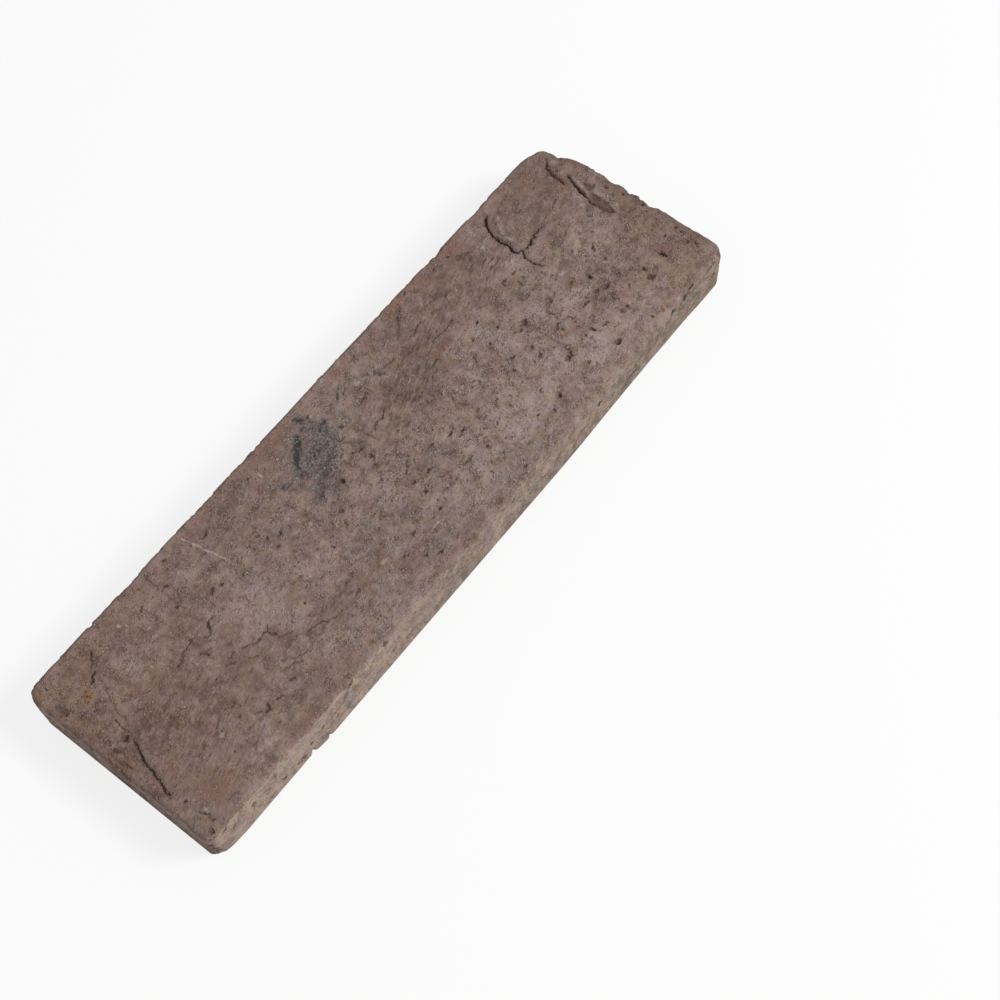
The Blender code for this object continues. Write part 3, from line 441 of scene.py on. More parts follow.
BLOOM_PATCHES = (
    (70.4, -8.8, 2.2, 1.4, 0.5), (74.4, -0.8, 0.55, 0.5, 2.6), (68, 23.2, 0.9, 1.9, 0.9),
    (69.3, 12.9, 1.2, 1, 1), (86.4, -30.9, 1.6, 0.8, 0.9), (96, 8.8, 1.2, 0.8, 0.7),
    (99.9, 3, 1.1, 3, 0.35), (101.6, 6, 0.8, 2.8, 0.8), (101.4, 13, 0.7, 1.4, 0.7),
    (17.2, -8.9, 1.1, 0.8, 1.3), (11.6, -9.4, 0.7, 1.4, 0.9), (13.6, -11.6, 1.2, 1.2, 0.6),
    (7.4, -3.3, 0.5, 0.5, 1), (8, 31.4, 0.8, 0.8, 1), (15.4, 31.2, 1.4, 0.6, 1),
    (13.4, 22.6, 1.6, 0.9, 1.1), (16, 22.2, 0.8, 0.5, 0.9), (12, 24, 1, 0.6, 0.8),
    (41.9, 13.8, 0.7, 0.6, 0.9), (36, 1.4, 0.6, 0.7, 1), (34.6, -5.8, 1.2, 1, 0.7),
    (33, -17.6, 1.2, 0.6, 0.7), (50, 0.8, 1.6, 1, 0.6), (-23.5, 25.6, 0.5, 1.2, 2.2),
    (-17.2, 25.1, 0.6, 0.5, 1.3), (-2.4, 26.8, 0.7, 0.8, 1.8), (-26.4, 5, 0.7, 0.6, 1.3),
    (-28.3, -5.4, 0.5, 1, 1.1), (-23.3, -17.7, 1.1, 0.7, 1.5), (-22.9, -20.2, 0.5, 0.6, 1.2),
    (-23.6, -24.8, 0.9, 1.2, 0.9), (-7, -21.8, 1.8, 0.4, 1.4), (-8.2, -22.3, 1, 0.4, 1),
    (-47.4, 16.8, 0.6, 0.6, 1), (-84.6, -16, 1, 1, 1.2), (-101.3, -25.7, 0.5, 0.5, 1.8),
    (-86, 16, 4, 3, 0.5), (-91.4, 7.6, 1.2, 0.9, 0.9), (-75.2, 16.6, 1.2, 0.7, 0.9),
    (-74.4, 19.2, 0.6, 0.7, 0.9), (-78, 13.4, 1, 0.4, 0.8), (-62, 8.8, 1.2, 0.8, 0.8),
    (-56, 6.6, 3, 2, 0.3), (-67.2, 2.6, 1.2, 0.7, 0.7), (-73.8, 4.4, 1, 0.5, 0.7),
    (-48, -8.2, 1.2, 0.7, 0.8), (-47.6, -22.5, 7, 3, 0.35), (-38.6, -4.6, 1.6, 0.9, 0.7),
    (-43.8, -1.2, 1.4, 0.6, 0.6), (-32.6, -3, 0.9, 0.6, 0.9), (-82, -26.8, 5, 2.2, 0.4),
    (-88.6, -23.4, 1.2, 0.9, 0.5), (70, 29, 2, 1, 0.4), (77, 29.6, 2, 0.8, 0.5),
    (-28.6, 8.8, 4, 4, 0.25), (26, -20, 18, 8, 0.25), (60, -20, 14, 8, 0.25), (88, 3, 7, 5, 0.3),
    (-78.6, 26, 0.5, 0.6, 1.4), (-78.2, 23.6, 0.6, 0.4, 1.3), (-77.6, 24.6, 0.4, 0.6, 1.3),
)
EMBER_SPECKS = ((58.9, -13, 0.75, 0.5, 1), (-103.2, -26.8, 0.5, 0.9, 0.5), (75, 9, 0.4, 0.4, 0.5))

# Where the face is paler, browner or warmer, in the same form
PALE_ZONES = (
    (69.6, -8.6, 3.6, 2.8, 1.4), (80.7, -22.2, 4, 3.4, 0.35), (92.8, 4.6, 4.5, 3, 0.35),
    (90, -3, 3, 3, 0.3), (38, -20, 34, 12, 0.75), (74, -24, 12, 6, 0.5), (86, -6, 10, 9, 0.45),
    (70, -8, 5, 4, 0.4), (46, -4, 16, 8, 0.55), (-8, -6, 14, 9, 0.35), (-44, 2, 16, 9, 0.5),
    (-56, 6, 6, 4, 0.1), (-46, -23, 9, 4.5, 0.55), (-84, 16, 8, 5, 0.3), (-76, -27, 8, 3, 0.35),
    (84, 4, 9, 4, 0.4), (12, -14, 12, 10, 0.1), (-60, -4, 8, 5, 0.25),
)
BROWN_ZONES = (
    (75, -14.4, 5, 3, 0.35), (97, -20, 3, 5, 0.3), (60.5, -14.5, 3.5, 4, 0.25), (78, 1, 4, 5, 0.2),
    (-88, -2, 24, 40, 0.24), (-106.5, 0, 1.8, 26, 0.7), (8, 20, 12, 9, 0.12), (46, 24, 12, 6, 0.1),
    (36, 11.4, 3.6, 1.3, 1.8), (48, -31, 12, 1.6, 0.25), (6, -20, 14, 10, 0.3), (30, 14, 18, 6, 0.25),
    (84, 20, 13, 7, 0.3), (-96, -22, 9, 7, 0.3), (-90, 2, 11, 7, 0.3), (-101, -2, 4, 12, 0.3),
    (-38, -14.5, 11, 2.6, 0.4), (60, 22, 8, 5, 0.3), (-72, 28, 20, 2.6, 0.3), (-14, 29, 14, 2.4, 0.3),
    (100, -10, 5, 10, 0.25), (-66, -10, 12, 6, 0.2), (-80, -29.5, 24, 1.6, 0.4), (104, 10, 3, 14, 0.3),
    (66, -14, 10, 6, 0.25), (60, 6, 8, 5, 0.25), (-20, -10, 2.6, 12, 0.3), (100, -30, 8, 3, 0.3),
    (20, -31, 24, 1.6, 0.25),
)
WARM_ZONES = ((-88, 14, 26, 26, 1.25), (-108, -6, 5, 26, 0.7), (92, -18, 22, 20, 0.45))
# Where the clay is open and pitted, and where it was dragged smooth
PITTED_ZONES = (
    (70, -10, 26, 16, 1), (30, -8, 26, 14, 0.75), (-10, -6, 24, 18, 0.6), (-8, 16, 12, 8, 0.9),
    (-38, 14, 18, 14, 0.55), (-104, 10, 5, 20, 0.6), (10, 27, 14, 4, 0.5),
)
DRAGGED_ZONES = ((86, 20, 12, 8, 0.8), (-42, -15.5, 12, 4, 0.9), (-80, -12, 24, 22, 0.7))
# The longest smooth band, browner than the rest, as x, y and half width
SMOOTH_BAND = (
    (66, 20.4, 6.2), (55, 20.6, 8.6), (45, 19.6, 8.2), (37.5, 17.4, 7.4), (30.5, 14.2, 7.2),
    (22, 11, 6.4), (9, 9.8, 6),
)

# What the material reads from each list of spots
SPOTS = {
    "soot": SOOT_STAINS,
    "rust": RUST_STAINS,
    "ochre": OCHRE_STAINS,
    "straw": STRAW_SPOTS,
    "gold": GOLD_SPOTS,
    "bloom": BLOOM_PATCHES,
    "ember": EMBER_SPECKS,
    "pale": PALE_ZONES,
    "brown": BROWN_ZONES,
    "warm": WARM_ZONES,
    "pitted": PITTED_ZONES,
    "dragged": DRAGGED_ZONES,
}

# Shares of the thickness between the rows of the side, from the face down
SIDE_STEPS = (0.025, 0.03, 0.035, 0.045) + (0.054,) * 10 + (0.065,) * 5
# The squares of the face are halved within each of these distances of a crease, a pit or a speck
REFINE_REACHES = (0.4, 0.0)
# A spot this small needs finer squares
SMALL_SPOT = 1.6
# How creases and stains stray, and how the smooth folds do, in x and in y: share of the warp,
# span and seed of each noise
RAGGED_STRAY = (((1, 1.5, 1), (0.8, 0.6, 2)), ((1, 1.5, 3), (0.8, 0.6, 4)))
SMOOTH_STRAY = (((0.6, 2.5, 7), (0.3, 0.8, 9)), ((0.6, 2.5, 8), (0.3, 0.8, 10)))
MOST_TRIANGLES = 200_000
SMOOTH_ANGLE = math.radians(75)

# Tints that the clay is multiplied by
OLIVE = (0.985, 1.005, 0.92)
ROSE = (1.020, 0.975, 0.995)
SAND = (1.025, 1.00, 0.925)
LILAC = (0.98, 0.98, 1.08)
PLAIN = (1.0, 1.0, 1.0)
WARM = (0.935, 0.880, 0.850)
# Height of the relief that the material adds, in millimetres
RELIEF = 0.6
DRAG_TURN = math.radians(17)

FLOOR_SIZE = 8.0
FLOOR_GLOW = 0.8
SKY_STRENGTH = 0.455
# Lights: name, place, size, power
LIGHTS = (
    ("key_light", (0.60, -0.85, 0.95), 0.5, 14.6),
    ("fill_light", (-0.9, 0.5, 1.2), 1.2, 1.6),
)
# The camera looks down along the slip from its near right corner
CAMERA_PLACE = Vector((-0.1521, -0.2096, 0.4854))
CAMERA_AIM = Vector((0.01142, -0.02807, 0.0080))
CAMERA_ROLL = math.radians(-10.3)
CAMERA_LENS_MM = 72.2
SENSOR_MM = 36.0


def length(name, description, millimetres):
    return bpy.props.FloatProperty(
        name=name, description=description, default=millimetres * MM, unit="LENGTH"
    )


def tint(name, description, default):
    return bpy.props.FloatVectorProperty(
        name=name, description=description, default=default, subtype="COLOR"
    )


class SlipSizes(bpy.types.PropertyGroup):
    mesh_pitch: length("Mesh pitch", "Spacing of the mesh over the face", 0.63)
    swell: length("Swell", "Height of the broad waves of the face", 0.5)
    roughness: length("Rough grain", "Height of the sandy grain in the mesh", 0.22)
    warp: length("Ragged edges", "How far creases, pits and stains stray", 0.5)


class SlipColours(bpy.types.PropertyGroup):
    clay: tint("Clay", "Mauve-brown fired clay", (0.221, 0.154, 0.131))
    # Also laid as painted shade around creases and pits and along the edges
    clay_deep: tint("Deep clay", "Darker clay of the hollows", (0.125, 0.082, 0.066))
    clay_pale: tint("Pale clay", "Paler clay of the high spots", (0.368, 0.288, 0.264))
    edge: tint("Edge clay", "Tan clay of the sides", (0.378, 0.293, 0.246))
    edge_deep: tint("Deep edge clay", "Darker clay of the sides", (0.190, 0.137, 0.114))
    # Painted shade at the bottom of creases and pits, and dark specks in the gold grit
    crease: tint("Crease", "Bottom of creases and pits", (0.062, 0.036, 0.027))
    # Painted shade of the smooth hollows
    hollow: tint("Hollow", "Smooth brown of the hollows", (0.078, 0.048, 0.036))
    soot: tint("Kiln soot", "Blue-grey stain", (0.135, 0.118, 0.110))
    soot_deep: tint("Deep kiln soot", "Nearly black stain", (0.038, 0.038, 0.036))
    soot_pale: tint("Pale kiln soot", "Paler specks of the stain", (0.300, 0.268, 0.245))
    rust: tint("Rust", "Red-brown stain", (0.196, 0.103, 0.078))
    # Also laid as painted shade in the pinholes, round the pits and on the flakes
    rust_deep: tint("Deep rust", "Dark streaks and pinholes", (0.090, 0.052, 0.041))
    ochre: tint("Ochre", "Yellow-brown stain", (0.235, 0.168, 0.104))
    straw: tint("Straw", "Dull yellow smudges on the face", (0.350, 0.305, 0.195))
    gold: tint("Gold", "Spots of ochre grit", (0.300, 0.150, 0.042))
    lilac: tint("Lilac clay", "Smooth lilac patches", (0.262, 0.194, 0.180))
    moss: tint("Grey-green clay", "Grey-green patches", (0.196, 0.160, 0.112))
    # Also laid as painted highlight on the folds and flakes
    bloom: tint("Bloom", "Pale grit and bloom", (0.440, 0.365, 0.335))
    ember: tint("Ember", "Orange specks of burnt grit", (0.520, 0.200, 0.090))
    floor: tint("Floor", "Pale studio floor", (0.86, 0.86, 0.86))


class Value:
    """A shader value that takes part in sums and products."""

    def __init__(self, nodes, socket):
        self.nodes = nodes
        self.socket = socket

    def maths(self, operation, *values, clamp=False):
        settings = {"operation": operation, "use_clamp": clamp}
        return self.nodes.value("ShaderNodeMath", settings, dict(enumerate(values)))

    def __add__(self, other):
        return self.maths("ADD", self, other)

    def __sub__(self, other):
        return self.maths("SUBTRACT", self, other)

    def __rsub__(self, other):
        return self.maths("SUBTRACT", other, self)

    def __mul__(self, other):
        return self.maths("MULTIPLY", self, other)

    __radd__ = __add__
    __rmul__ = __mul__

    def clamped(self):
        return self.maths("ADD", self, 0.0, clamp=True)

    def size(self):
        return self.maths("ABSOLUTE", self)

    def share(self, low, high):
        """0 at low and under, 1 at high and over, and even between them."""
        inputs = {"Value": self, "From Min": low, "From Max": high}
        return self.nodes.value("ShaderNodeMapRange", None, inputs)

    def between(self, low, high):
        """0 at low and under, 1 at high and over, and smooth between them."""
        settings = {"interpolation_type": "SMOOTHSTEP"}
        inputs = {"Value": self, "From Min": low, "From Max": high}
        return self.nodes.value("ShaderNodeMapRange", settings, inputs)


class Nodes:
    """The nodes of a material or of the world, added one by one."""

    def __init__(self, owner):
        owner.use_nodes = True
        self.tree = owner.node_tree
        self.tree.nodes.clear()

    def add(self, kind, settings=None, inputs=None):
        node = self.tree.nodes.new(kind)
        for name, setting in (settings or {}).items():
            setattr(node, name, setting)
        for key, value in (inputs or {}).items():
            if isinstance(value, Value):
                self.tree.links.new(value.socket, node.inputs[key])
            else:
                node.inputs[key].default_value = value
        return node

    def value(self, kind, settings=None, inputs=None, output=0):
        return Value(self, self.add(kind, settings, inputs).outputs[output])

    def mixed(self, share, first, second, blend="MIX"):
        """Two colours mixed by a share."""
        settings = {"data_type": "RGBA", "blend_type": blend}
        inputs = {0: share, 6: colour(first), 7: colour(second)}
        return self.value("ShaderNodeMix", settings, inputs, output=2)

    def tinted(self, base, share, first, second):
        """A colour multiplied by a tint between two."""
        return self.mixed(1.0, base, self.mixed(share, first, second), "MULTIPLY")

    def noise(self, place, scale, detail=2.0, rough=0.5):
        inputs = {"Vector": place, "Scale": scale, "Detail": detail, "Roughness": rough}
        return self.value("ShaderNodeTexNoise", None, inputs)

    def stretched(self, place, factors):
        return self.value("ShaderNodeVectorMath", {"operation": "MULTIPLY"}, {0: place, 1: factors})

    def attribute(self, name):
        return self.value("ShaderNodeAttribute", {"attribute_name": name}, output=2)


def colour(value):
    return value if isinstance(value, Value) else (*value, 1.0)


class ClayPaint:
    """The colour and relief of the clay, laid on layer by layer."""

    def __init__(self, nodes, colours):
        self.nodes = nodes
        self.colours = colours
        place = nodes.value("ShaderNodeTexCoord", output=3)
        self.place = nodes.value("ShaderNodeVectorMath", {"operation": "SCALE"}, {0: place, "Scale": 1 / MM})
        self.shade_halo = nodes.attribute("shade_halo")
        self.side = nodes.attribute("side")
        self.at_end = nodes.attribute("near_end")
        self.pitted = nodes.attribute("pitted")
        self.dragged = nodes.attribute("dragged")

        # Mottling from broad patches to sandy grain, less 0.5, with the grain in patches
        self.broad = self.noise(0.05, 1.0, 0.9) - 0.5
        self.cloudy = self.noise(0.24, 1.0, 0.9) - 0.5
        self.mottle = self.noise(0.8, 1.0, 0.9) - 0.5
        self.grain = self.noise(2.6, 1.0, 0.8) - 0.5
        self.crumbs = self.noise(1.5, 2.0, 0.7) - 0.5
        self.ragged = self.cloudy + self.mottle * 1.4 + self.grain * 0.8
        self.cluster = self.noise(0.16, 2.0, 0.5) - 0.5
        self.hue = self.noise(0.15, 2.0, 0.8)
        self.cast = self.noise(0.19, 2.0, 0.8)
        quiet = 1 - self.dragged.clamped() * 0.65
        self.open_sand = self.noise(0.36, 2.0, 0.6).share(0.42, 0.60) * quiet
        self.coarse = (0.15 + self.open_sand * 1.3) * quiet

        # Small patches of lilac, red and grey-green clay
        self.lilac = self.noise(0.30, 2.0, 0.6).share(0.56, 0.68)
        self.reddish = self.noise(0.41, 2.0, 0.6).share(0.60, 0.70)
        self.mossy = self.noise(0.33, 2.0, 0.6).share(0.60, 0.70)

    def noise(self, scale, detail, rough):
        return self.nodes.noise(self.place, scale, detail, rough)

    def lay(self, share, tint):
        """Covers a share of the body with a colour."""
        self.body = self.nodes.mixed(share, self.body, tint)

    def patched(self, base, strength):
        base = self.nodes.mixed(self.lilac * 0.5 * strength, base, self.colours.lilac)
        base = self.nodes.mixed(self.mossy * 0.38 * strength, base, self.colours.moss)
        return self.nodes.mixed(self.reddish * 0.33 * strength, base, self.colours.rust)

    def mix_clay(self):
        """The bare clay: olive brown where it is dark, lilac grey where it is pale."""
        nodes, colours = self.nodes, self.colours
        tone = self.broad * 0.9 + self.cloudy * (1.3 + self.pitted * 0.35)
        tone = tone + self.mottle * 1.3 * (0.5 + self.open_sand * 0.6) + self.grain * 1.5 * self.coarse
        tone = 0.53 + tone * (1 + self.at_end * 3.0)
        # The soft painted shade around creases and pits darkens the tone too
        tone = tone + 0.30 * nodes.attribute("pale") - 0.28 * nodes.attribute("brown") - 0.10 * self.shade_halo
        body = nodes.mixed(tone.share(0.0, 0.5), colours.clay_deep, colours.clay)
        body = nodes.mixed(tone.share(0.5, 1.1), body, colours.clay_pale)
        body = nodes.tinted(body, self.hue.share(0.3, 0.7), OLIVE, ROSE)
        body = nodes.tinted(body, self.cast.share(0.3, 0.7), SAND, LILAC)
        body = nodes.tinted(body, self.noise(0.8, 1.0, 0.6).share(0.35, 0.65), SAND, LILAC)
        body = nodes.tinted(body, (nodes.attribute("warm") + self.at_end).clamped(), PLAIN, WARM)
        self.body = self.patched(body, 1 + self.at_end * 1.6)

    def add_flakes(self):
        """Little flakes: a dark line with a pale one beside it, mostly on the open sand; the pair is painted
        shade and painted highlight of each flake's relief.
        """
        flake_shading = (self.noise(0.44, 2.0, 0.65) - 0.5) * 9.0
        broken = self.noise(0.7, 2.0, 0.5).share(0.50, 0.58) * (0.25 + self.open_sand)
        broken = broken * (0.35 + self.pitted.clamped() * 0.65)
        dark = (1 - (flake_shading - 0.55).size() * 1.8).clamped() * broken
        pale = (1 - (flake_shading + 0.55).size() * 1.8).clamped() * broken
        # Painted shade on one side of each flake, painted highlight on the other
        self.lay(dark * 0.75, self.colours.rust_deep)
        self.lay(pale * 0.55, self.colours.bloom)
        self.flakes = pale - dark

    def add_stains(self):
        """Ochre, rust, bloom and gold, each with a ragged edge."""
        nodes, colours = self.nodes, self.colours
        ochre = (nodes.attribute("ochre") + self.ragged * 1.4).share(0.2, 1.5)
        self.lay(ochre * 0.7, colours.ochre)
        rust = (nodes.attribute("rust") + self.ragged * 1.4).share(0.2, 1.2)
        self.lay(rust * 0.9, colours.rust)
        # The bloom attribute also holds the painted highlight on the tops of the folds
        bloom = (nodes.attribute("bloom") + self.ragged * 1.2).share(0.3, 1.4)
        self.lay(bloom * 0.75, colours.bloom)
        golden = nodes.attribute("gold")
        gold = (golden * 1.3 + self.ragged * 1.2).between(0.25, 0.75) * golden.share(0.05, 0.3)
        glint = (self.grain * 5.0 + self.crumbs * 4.0 + 0.55).clamped()
        self.lay(gold * 0.9, nodes.mixed(glint, colours.crease, colours.gold))

    def add_soot(self):
        """A grey film, blacker and paler from speck to speck, then the straw and ember specks."""
        nodes, colours = self.nodes, self.colours
        speckle = self.noise(1.5, 1.0, 0.7) - 0.5
        blots = self.noise(0.6, 2.0, 0.7) - 0.5
        char = nodes.attribute("char")
        self.soot = (nodes.attribute("soot") + char + blots * 2.6 + speckle * 1.6).share(0.35, 0.95)
        deep = (0.15 - speckle * 7.0 - blots * 5.0 + char * 1.5).clamped()
        pale = (speckle * 7.0 + blots * 2.0 - 0.5 - char).clamped() * 0.8
        film = nodes.mixed(deep, colours.soot, colours.soot_deep)
        self.lay(self.soot * 0.74 + char.clamped() * 0.2, nodes.mixed(pale, film, colours.soot_pale))
        straw = (nodes.attribute("straw") + self.ragged * 0.9).between(0.25, 1.2)
        self.lay(straw * 0.6, colours.straw)
        ember = (nodes.attribute("ember") + self.ragged * 0.7).between(0.35, 0.8)
        self.lay(ember * 0.9, colours.ember)

    def add_sides(self):
        """Tan sides with their own mottling, dark lines where the clay is layered, and painted shade along
        the left, far and near edges.
        """
        nodes, colours = self.nodes, self.colours
        self.lines = nodes.noise(nodes.stretched(self.place, (0.16, 1.0, 1.0)), 0.8, 2.0, 0.6)
        drips = nodes.noise(nodes.stretched(self.place, (1.0, 0.35, 0.35)), 0.45, 2.0, 0.7) - 0.5
        along = nodes.attribute("side_tone")
        layering = nodes.attribute("layered")
        tone = drips * 2.2 + self.broad * 1.5 + self.cloudy * 2.9 + self.mottle * 2.1 + self.grain * 1.9
        tone = 0.55 + along + tone * (0.65 + layering * 0.7)
        edge = nodes.mixed(tone.share(0.0, 1.0), colours.edge_deep, colours.edge)
        edge = nodes.mixed((0.25 - along).share(0.0, 0.5) * 0.45, edge, colours.moss)
        edge = nodes.tinted(edge, self.hue.share(0.3, 0.7), OLIVE, ROSE)
        edge = nodes.tinted(edge, self.cast.share(0.35, 0.65), SAND, LILAC)
        edge = self.patched(edge, 1.4)
        self.layers = (1 - self.lines.share(0.30, 0.38)) * layering
        edge = nodes.mixed(self.layers * 0.6, edge, colours.clay_deep)
        share = (self.side + self.cloudy * 0.4 + self.mottle * 0.4 + self.grain * 0.3).between(0.14, 0.58)
        self.lay(share * 0.95, edge)
        # Painted shade along the left and far edges, and under the edges that turn away from the light
        rim_shade = nodes.attribute("rim_shade")
        rim_shade = (rim_shade + self.ragged * 0.9 * rim_shade.share(0.0, 0.3)).clamped()
        self.lay(rim_shade * 0.9, colours.clay_deep)

    def add_grit(self):
        """Pinholes darkened with painted shade, and the pale grit and dark crumbs of the sand."""
        nodes, colours = self.nodes, self.colours
        openness = 0.18 + self.pitted * 0.68 - self.dragged * 0.2 + self.cluster * 1.4
        self.pock = 1 - (self.noise(0.62, 2.0, 0.7) - openness * 0.055).between(0.27, 0.32)
        self.pinhole = 1 - (self.noise(1.5, 2.0, 0.6) - openness * 0.06).between(0.27, 0.33)
        # Painted shade in the pinholes
        self.lay((self.pock * 0.7 + self.pinhole * 0.6).clamped() * 0.85, colours.rust_deep)
        grains = nodes.add("ShaderNodeTexVoronoi", None, {"Vector": self.place, "Scale": 1.3})
        inside = 1 - Value(nodes, grains.outputs["Distance"]).between(0.15, 0.38)
        kind = Value(nodes, grains.outputs["Color"])
        self.grit = kind.share(0.60, 0.68) * inside * (0.2 + self.open_sand)
        self.lay(self.grit * 0.65, colours.bloom)
        crumb = (1 - kind.share(0.24, 0.32)) * inside * (0.1 + self.open_sand * 0.9)
        self.lay(crumb * 0.7, colours.rust_deep)

    def add_streaks(self):
        """Drag streaks, at a slant along the smoothed zones."""
        turn = {"Vector": self.place, "Rotation": (0.0, 0.0, DRAG_TURN), "Scale": (4.0, 1.0, 2.0)}
        turned = self.nodes.value("ShaderNodeMapping", {"vector_type": "TEXTURE"}, turn)
        self.streak = self.nodes.noise(turned, 1.0, 2.0, 0.6)
        smeared = self.dragged.clamped() * (0.4 + self.cluster.share(-0.1, 0.1))
        self.lay((1 - self.streak.share(0.32, 0.40)) * smeared * 0.85, self.colours.rust_deep)
        self.lay(self.streak.share(0.60, 0.70) * smeared * 0.4, self.colours.clay_pale)

    def add_creases(self):
        """Painted shade: smooth brown in the hollows, soft dark around creases and pits, and dark creases
        and pits, ragged and broken where they are faint.
        """
        crease = self.nodes.attribute("crease")
        pit = self.nodes.attribute("pit")
        # Painted shade in the hollows
        self.lay(self.nodes.attribute("hollow").clamped(), self.colours.hollow)
        # Soft painted shade around creases and pits
        self.lay((self.shade_halo * 0.45 + self.ragged * 0.6 * self.shade_halo).clamped(), self.colours.clay_deep)
        depth = crease + self.crumbs * 2.0 + self.grain * 0.8
        self.gap = depth.share(0.25, 0.85) * crease.share(0.02, 0.3)
        bottom = pit + self.crumbs * 3.2 + self.grain * 1.0
        # Painted shade round the edges of the pits
        ring_shade = (bottom + 0.3).share(0.35, 0.85) * pit.share(0.05, 0.3)
        self.lay(ring_shade * 0.55, self.colours.rust_deep)
        self.pit_shade = bottom.share(0.55, 0.95) * pit.share(0.1, 0.4)
        # Painted shade at the bottom of creases and pits
        self.lay((self.gap + self.pit_shade * 0.9).clamped() * 0.88, self.colours.crease)

    def relief(self):
        height = self.mottle * 0.8 + self.grain * 0.9 * self.coarse + self.cloudy * 0.7 + self.flakes * 0.25
        height = height + self.grit * 0.15 - self.pock * 0.35 - self.pinhole * 0.3
        height = height + (self.streak - 0.5) * self.dragged * 0.9 - self.gap * 0.3 - self.pit_shade * 0.5
        return height - self.layers * self.side * 0.5 + (self.lines - 0.5) * self.side * 0.6


def clay_material(colours):
    """Fired clay: mottled mauve-brown with stains, pale grit, painted shade in pits and creases, and tan
    sides.
    """
    material = bpy.data.materials.new("fired_clay")
    nodes = Nodes(material)
    paint = ClayPaint(nodes, colours)
    paint.mix_clay()
    paint.add_flakes()
    paint.add_stains()
    paint.add_soot()
    paint.add_sides()
    paint.add_grit()
    paint.add_streaks()
    paint.add_creases()
    relief = {"Strength": 0.8, "Distance": RELIEF * MM, "Height": paint.relief()}
    look = {
        "Base Color": paint.body,
        "Roughness": 0.94 - 0.12 * paint.soot,
        "Specular IOR Level": 0.3,
        "Normal": nodes.value("ShaderNodeBump", None, relief),
    }
    surface = nodes.value("ShaderNodeBsdfPrincipled", None, look)
    nodes.add("ShaderNodeOutputMaterial", None, {"Surface": surface})
    return material


def floor_material(floor_colour):
    """A pale floor that keeps soft shadows."""
    material = bpy.data.materials.new("studio_floor")
    nodes = Nodes(material)
    matt = nodes.value("ShaderNodeBsdfDiffuse", None, {"Color": colour(floor_colour)})
    glow = nodes.value("ShaderNodeEmission", None, {"Color": colour(PLAIN), "Strength": 1.0})
    seen = nodes.add("ShaderNodeLightPath")
    direct = Value(nodes, seen.outputs["Is Camera Ray"]) + Value(nodes, seen.outputs["Is Glossy Ray"])
    shader = nodes.value("ShaderNodeMixShader", None, {0: direct * FLOOR_GLOW, 1: matt, 2: glow})
    nodes.add("ShaderNodeOutputMaterial", None, {"Surface": shader})
    return material


def value_noise(points, span, seed):
    """Smooth noise between -1 and 1 at points in millimetres."""
    offset = Vector((seed * 17.3, seed * 5.1, seed * 9.7))
    return np.array([noise.noise(Vector(p) / span + offset) for p in points])


def strayed(points, warp, strays):
    """The points' x and y, each moved by its noises."""
    moved = []
    for axis, noises in enumerate(strays):
        places = points[:, axis]
        for share, span, seed in noises:
            places = places + warp * share * value_noise(points, span, seed)
        moved.append(places)
    return moved


def bell(share, power=2):
    """1 at the middle, falling off past a share of 1."""
    return np.exp(-(share**power))


def near_path(x, y, path):
    """For each point, its distance from a path, the path's half width there, and its distance to
    the left of the path, which is negative on the right."""
    best = np.full(len(x), np.inf)
    width = np.ones(len(x))
    leftward = np.zeros(len(x))
    for (x0, y0, w0), (x1, y1, w1) in zip(path, path[1:]):
        span = math.hypot(x1 - x0, y1 - y0)
        along = np.clip(((x - x0) * (x1 - x0) + (y - y0) * (y1 - y0)) / span**2, 0, 1)
        gap = np.hypot(x - x0 - along * (x1 - x0), y - y0 - along * (y1 - y0))
        closer = gap < best
        best = np.where(closer, gap, best)
        width = np.where(closer, w0 + along * (w1 - w0), width)
        cross = ((x1 - x0) * (y - y0) - (y1 - y0) * (x - x0)) / span
        leftward = np.where(closer, cross, leftward)
    return best, width, leftward


def blobs(x, y, spots):
    """The strengths of soft spots, added up."""
    total = np.zeros(len(x))
    for cx, cy, half_x, half_y, strength in spots:
        total += strength * np.exp(-(((x - cx) / half_x) ** 2) - ((y - cy) / half_y) ** 2)
    return total


def oval_reach(x, y, oval):
    """How far each point is from the middle of a turned oval, where 1 is its edge."""
    cx, cy, half_x, half_y, turn = oval
    c, s = math.cos(math.radians(turn)), math.sin(math.radians(turn))
    u = ((x - cx) * c + (y - cy) * s) / half_x
    v = ((y - cy) * c - (x - cx) * s) / half_y
    return np.hypot(u, v)


def worn(x, y, z):
    """The plain block's points, with worn arrises."""
    wear = np.stack(
        [
            np.where(x < 0, WEAR_IN["near"], WEAR_IN["far"]),
            np.where(y < 0, WEAR_IN["right"], WEAR_IN["left"]),
            np.full(len(x), WEAR_DOWN),
        ]
    )
    inset = np.stack([HALF_LENGTH_MM - abs(x), HALF_WIDTH_MM - abs(y), THICKNESS_MM - z])
    over = np.clip(1 - inset / wear, 0, None)
    reach = np.linalg.norm(over, axis=0)
    scale = np.where(reach > 0, over.max(axis=0) / np.maximum(reach, 1e-9), 1)
    held = np.where(over > 0, wear * (1 - over * scale), inset)
    x = np.copysign(HALF_LENGTH_MM - held[0], x)
    y = np.copysign(HALF_WIDTH_MM - held[1], y)
    return x, y, THICKNESS_MM - held[2]


def cornered(x, y):
    """Points near the upright edges, moved in to round them."""
    for (end, side), radius in CORNER_RADII.items():
        out_x = end * x - (HALF_LENGTH_MM - radius)
        out_y = side * y - (HALF_WIDTH_MM - radius)
        inside = (out_x > 0) & (out_y > 0)
        shrink = np.maximum(out_x, out_y) / np.maximum(np.hypot(out_x, out_y), 1e-9)
        x = np.where(inside, end * (HALF_LENGTH_MM - radius + out_x * shrink), x)
        y = np.where(inside, side * (HALF_WIDTH_MM - radius + out_y * shrink), y)
    return x, y


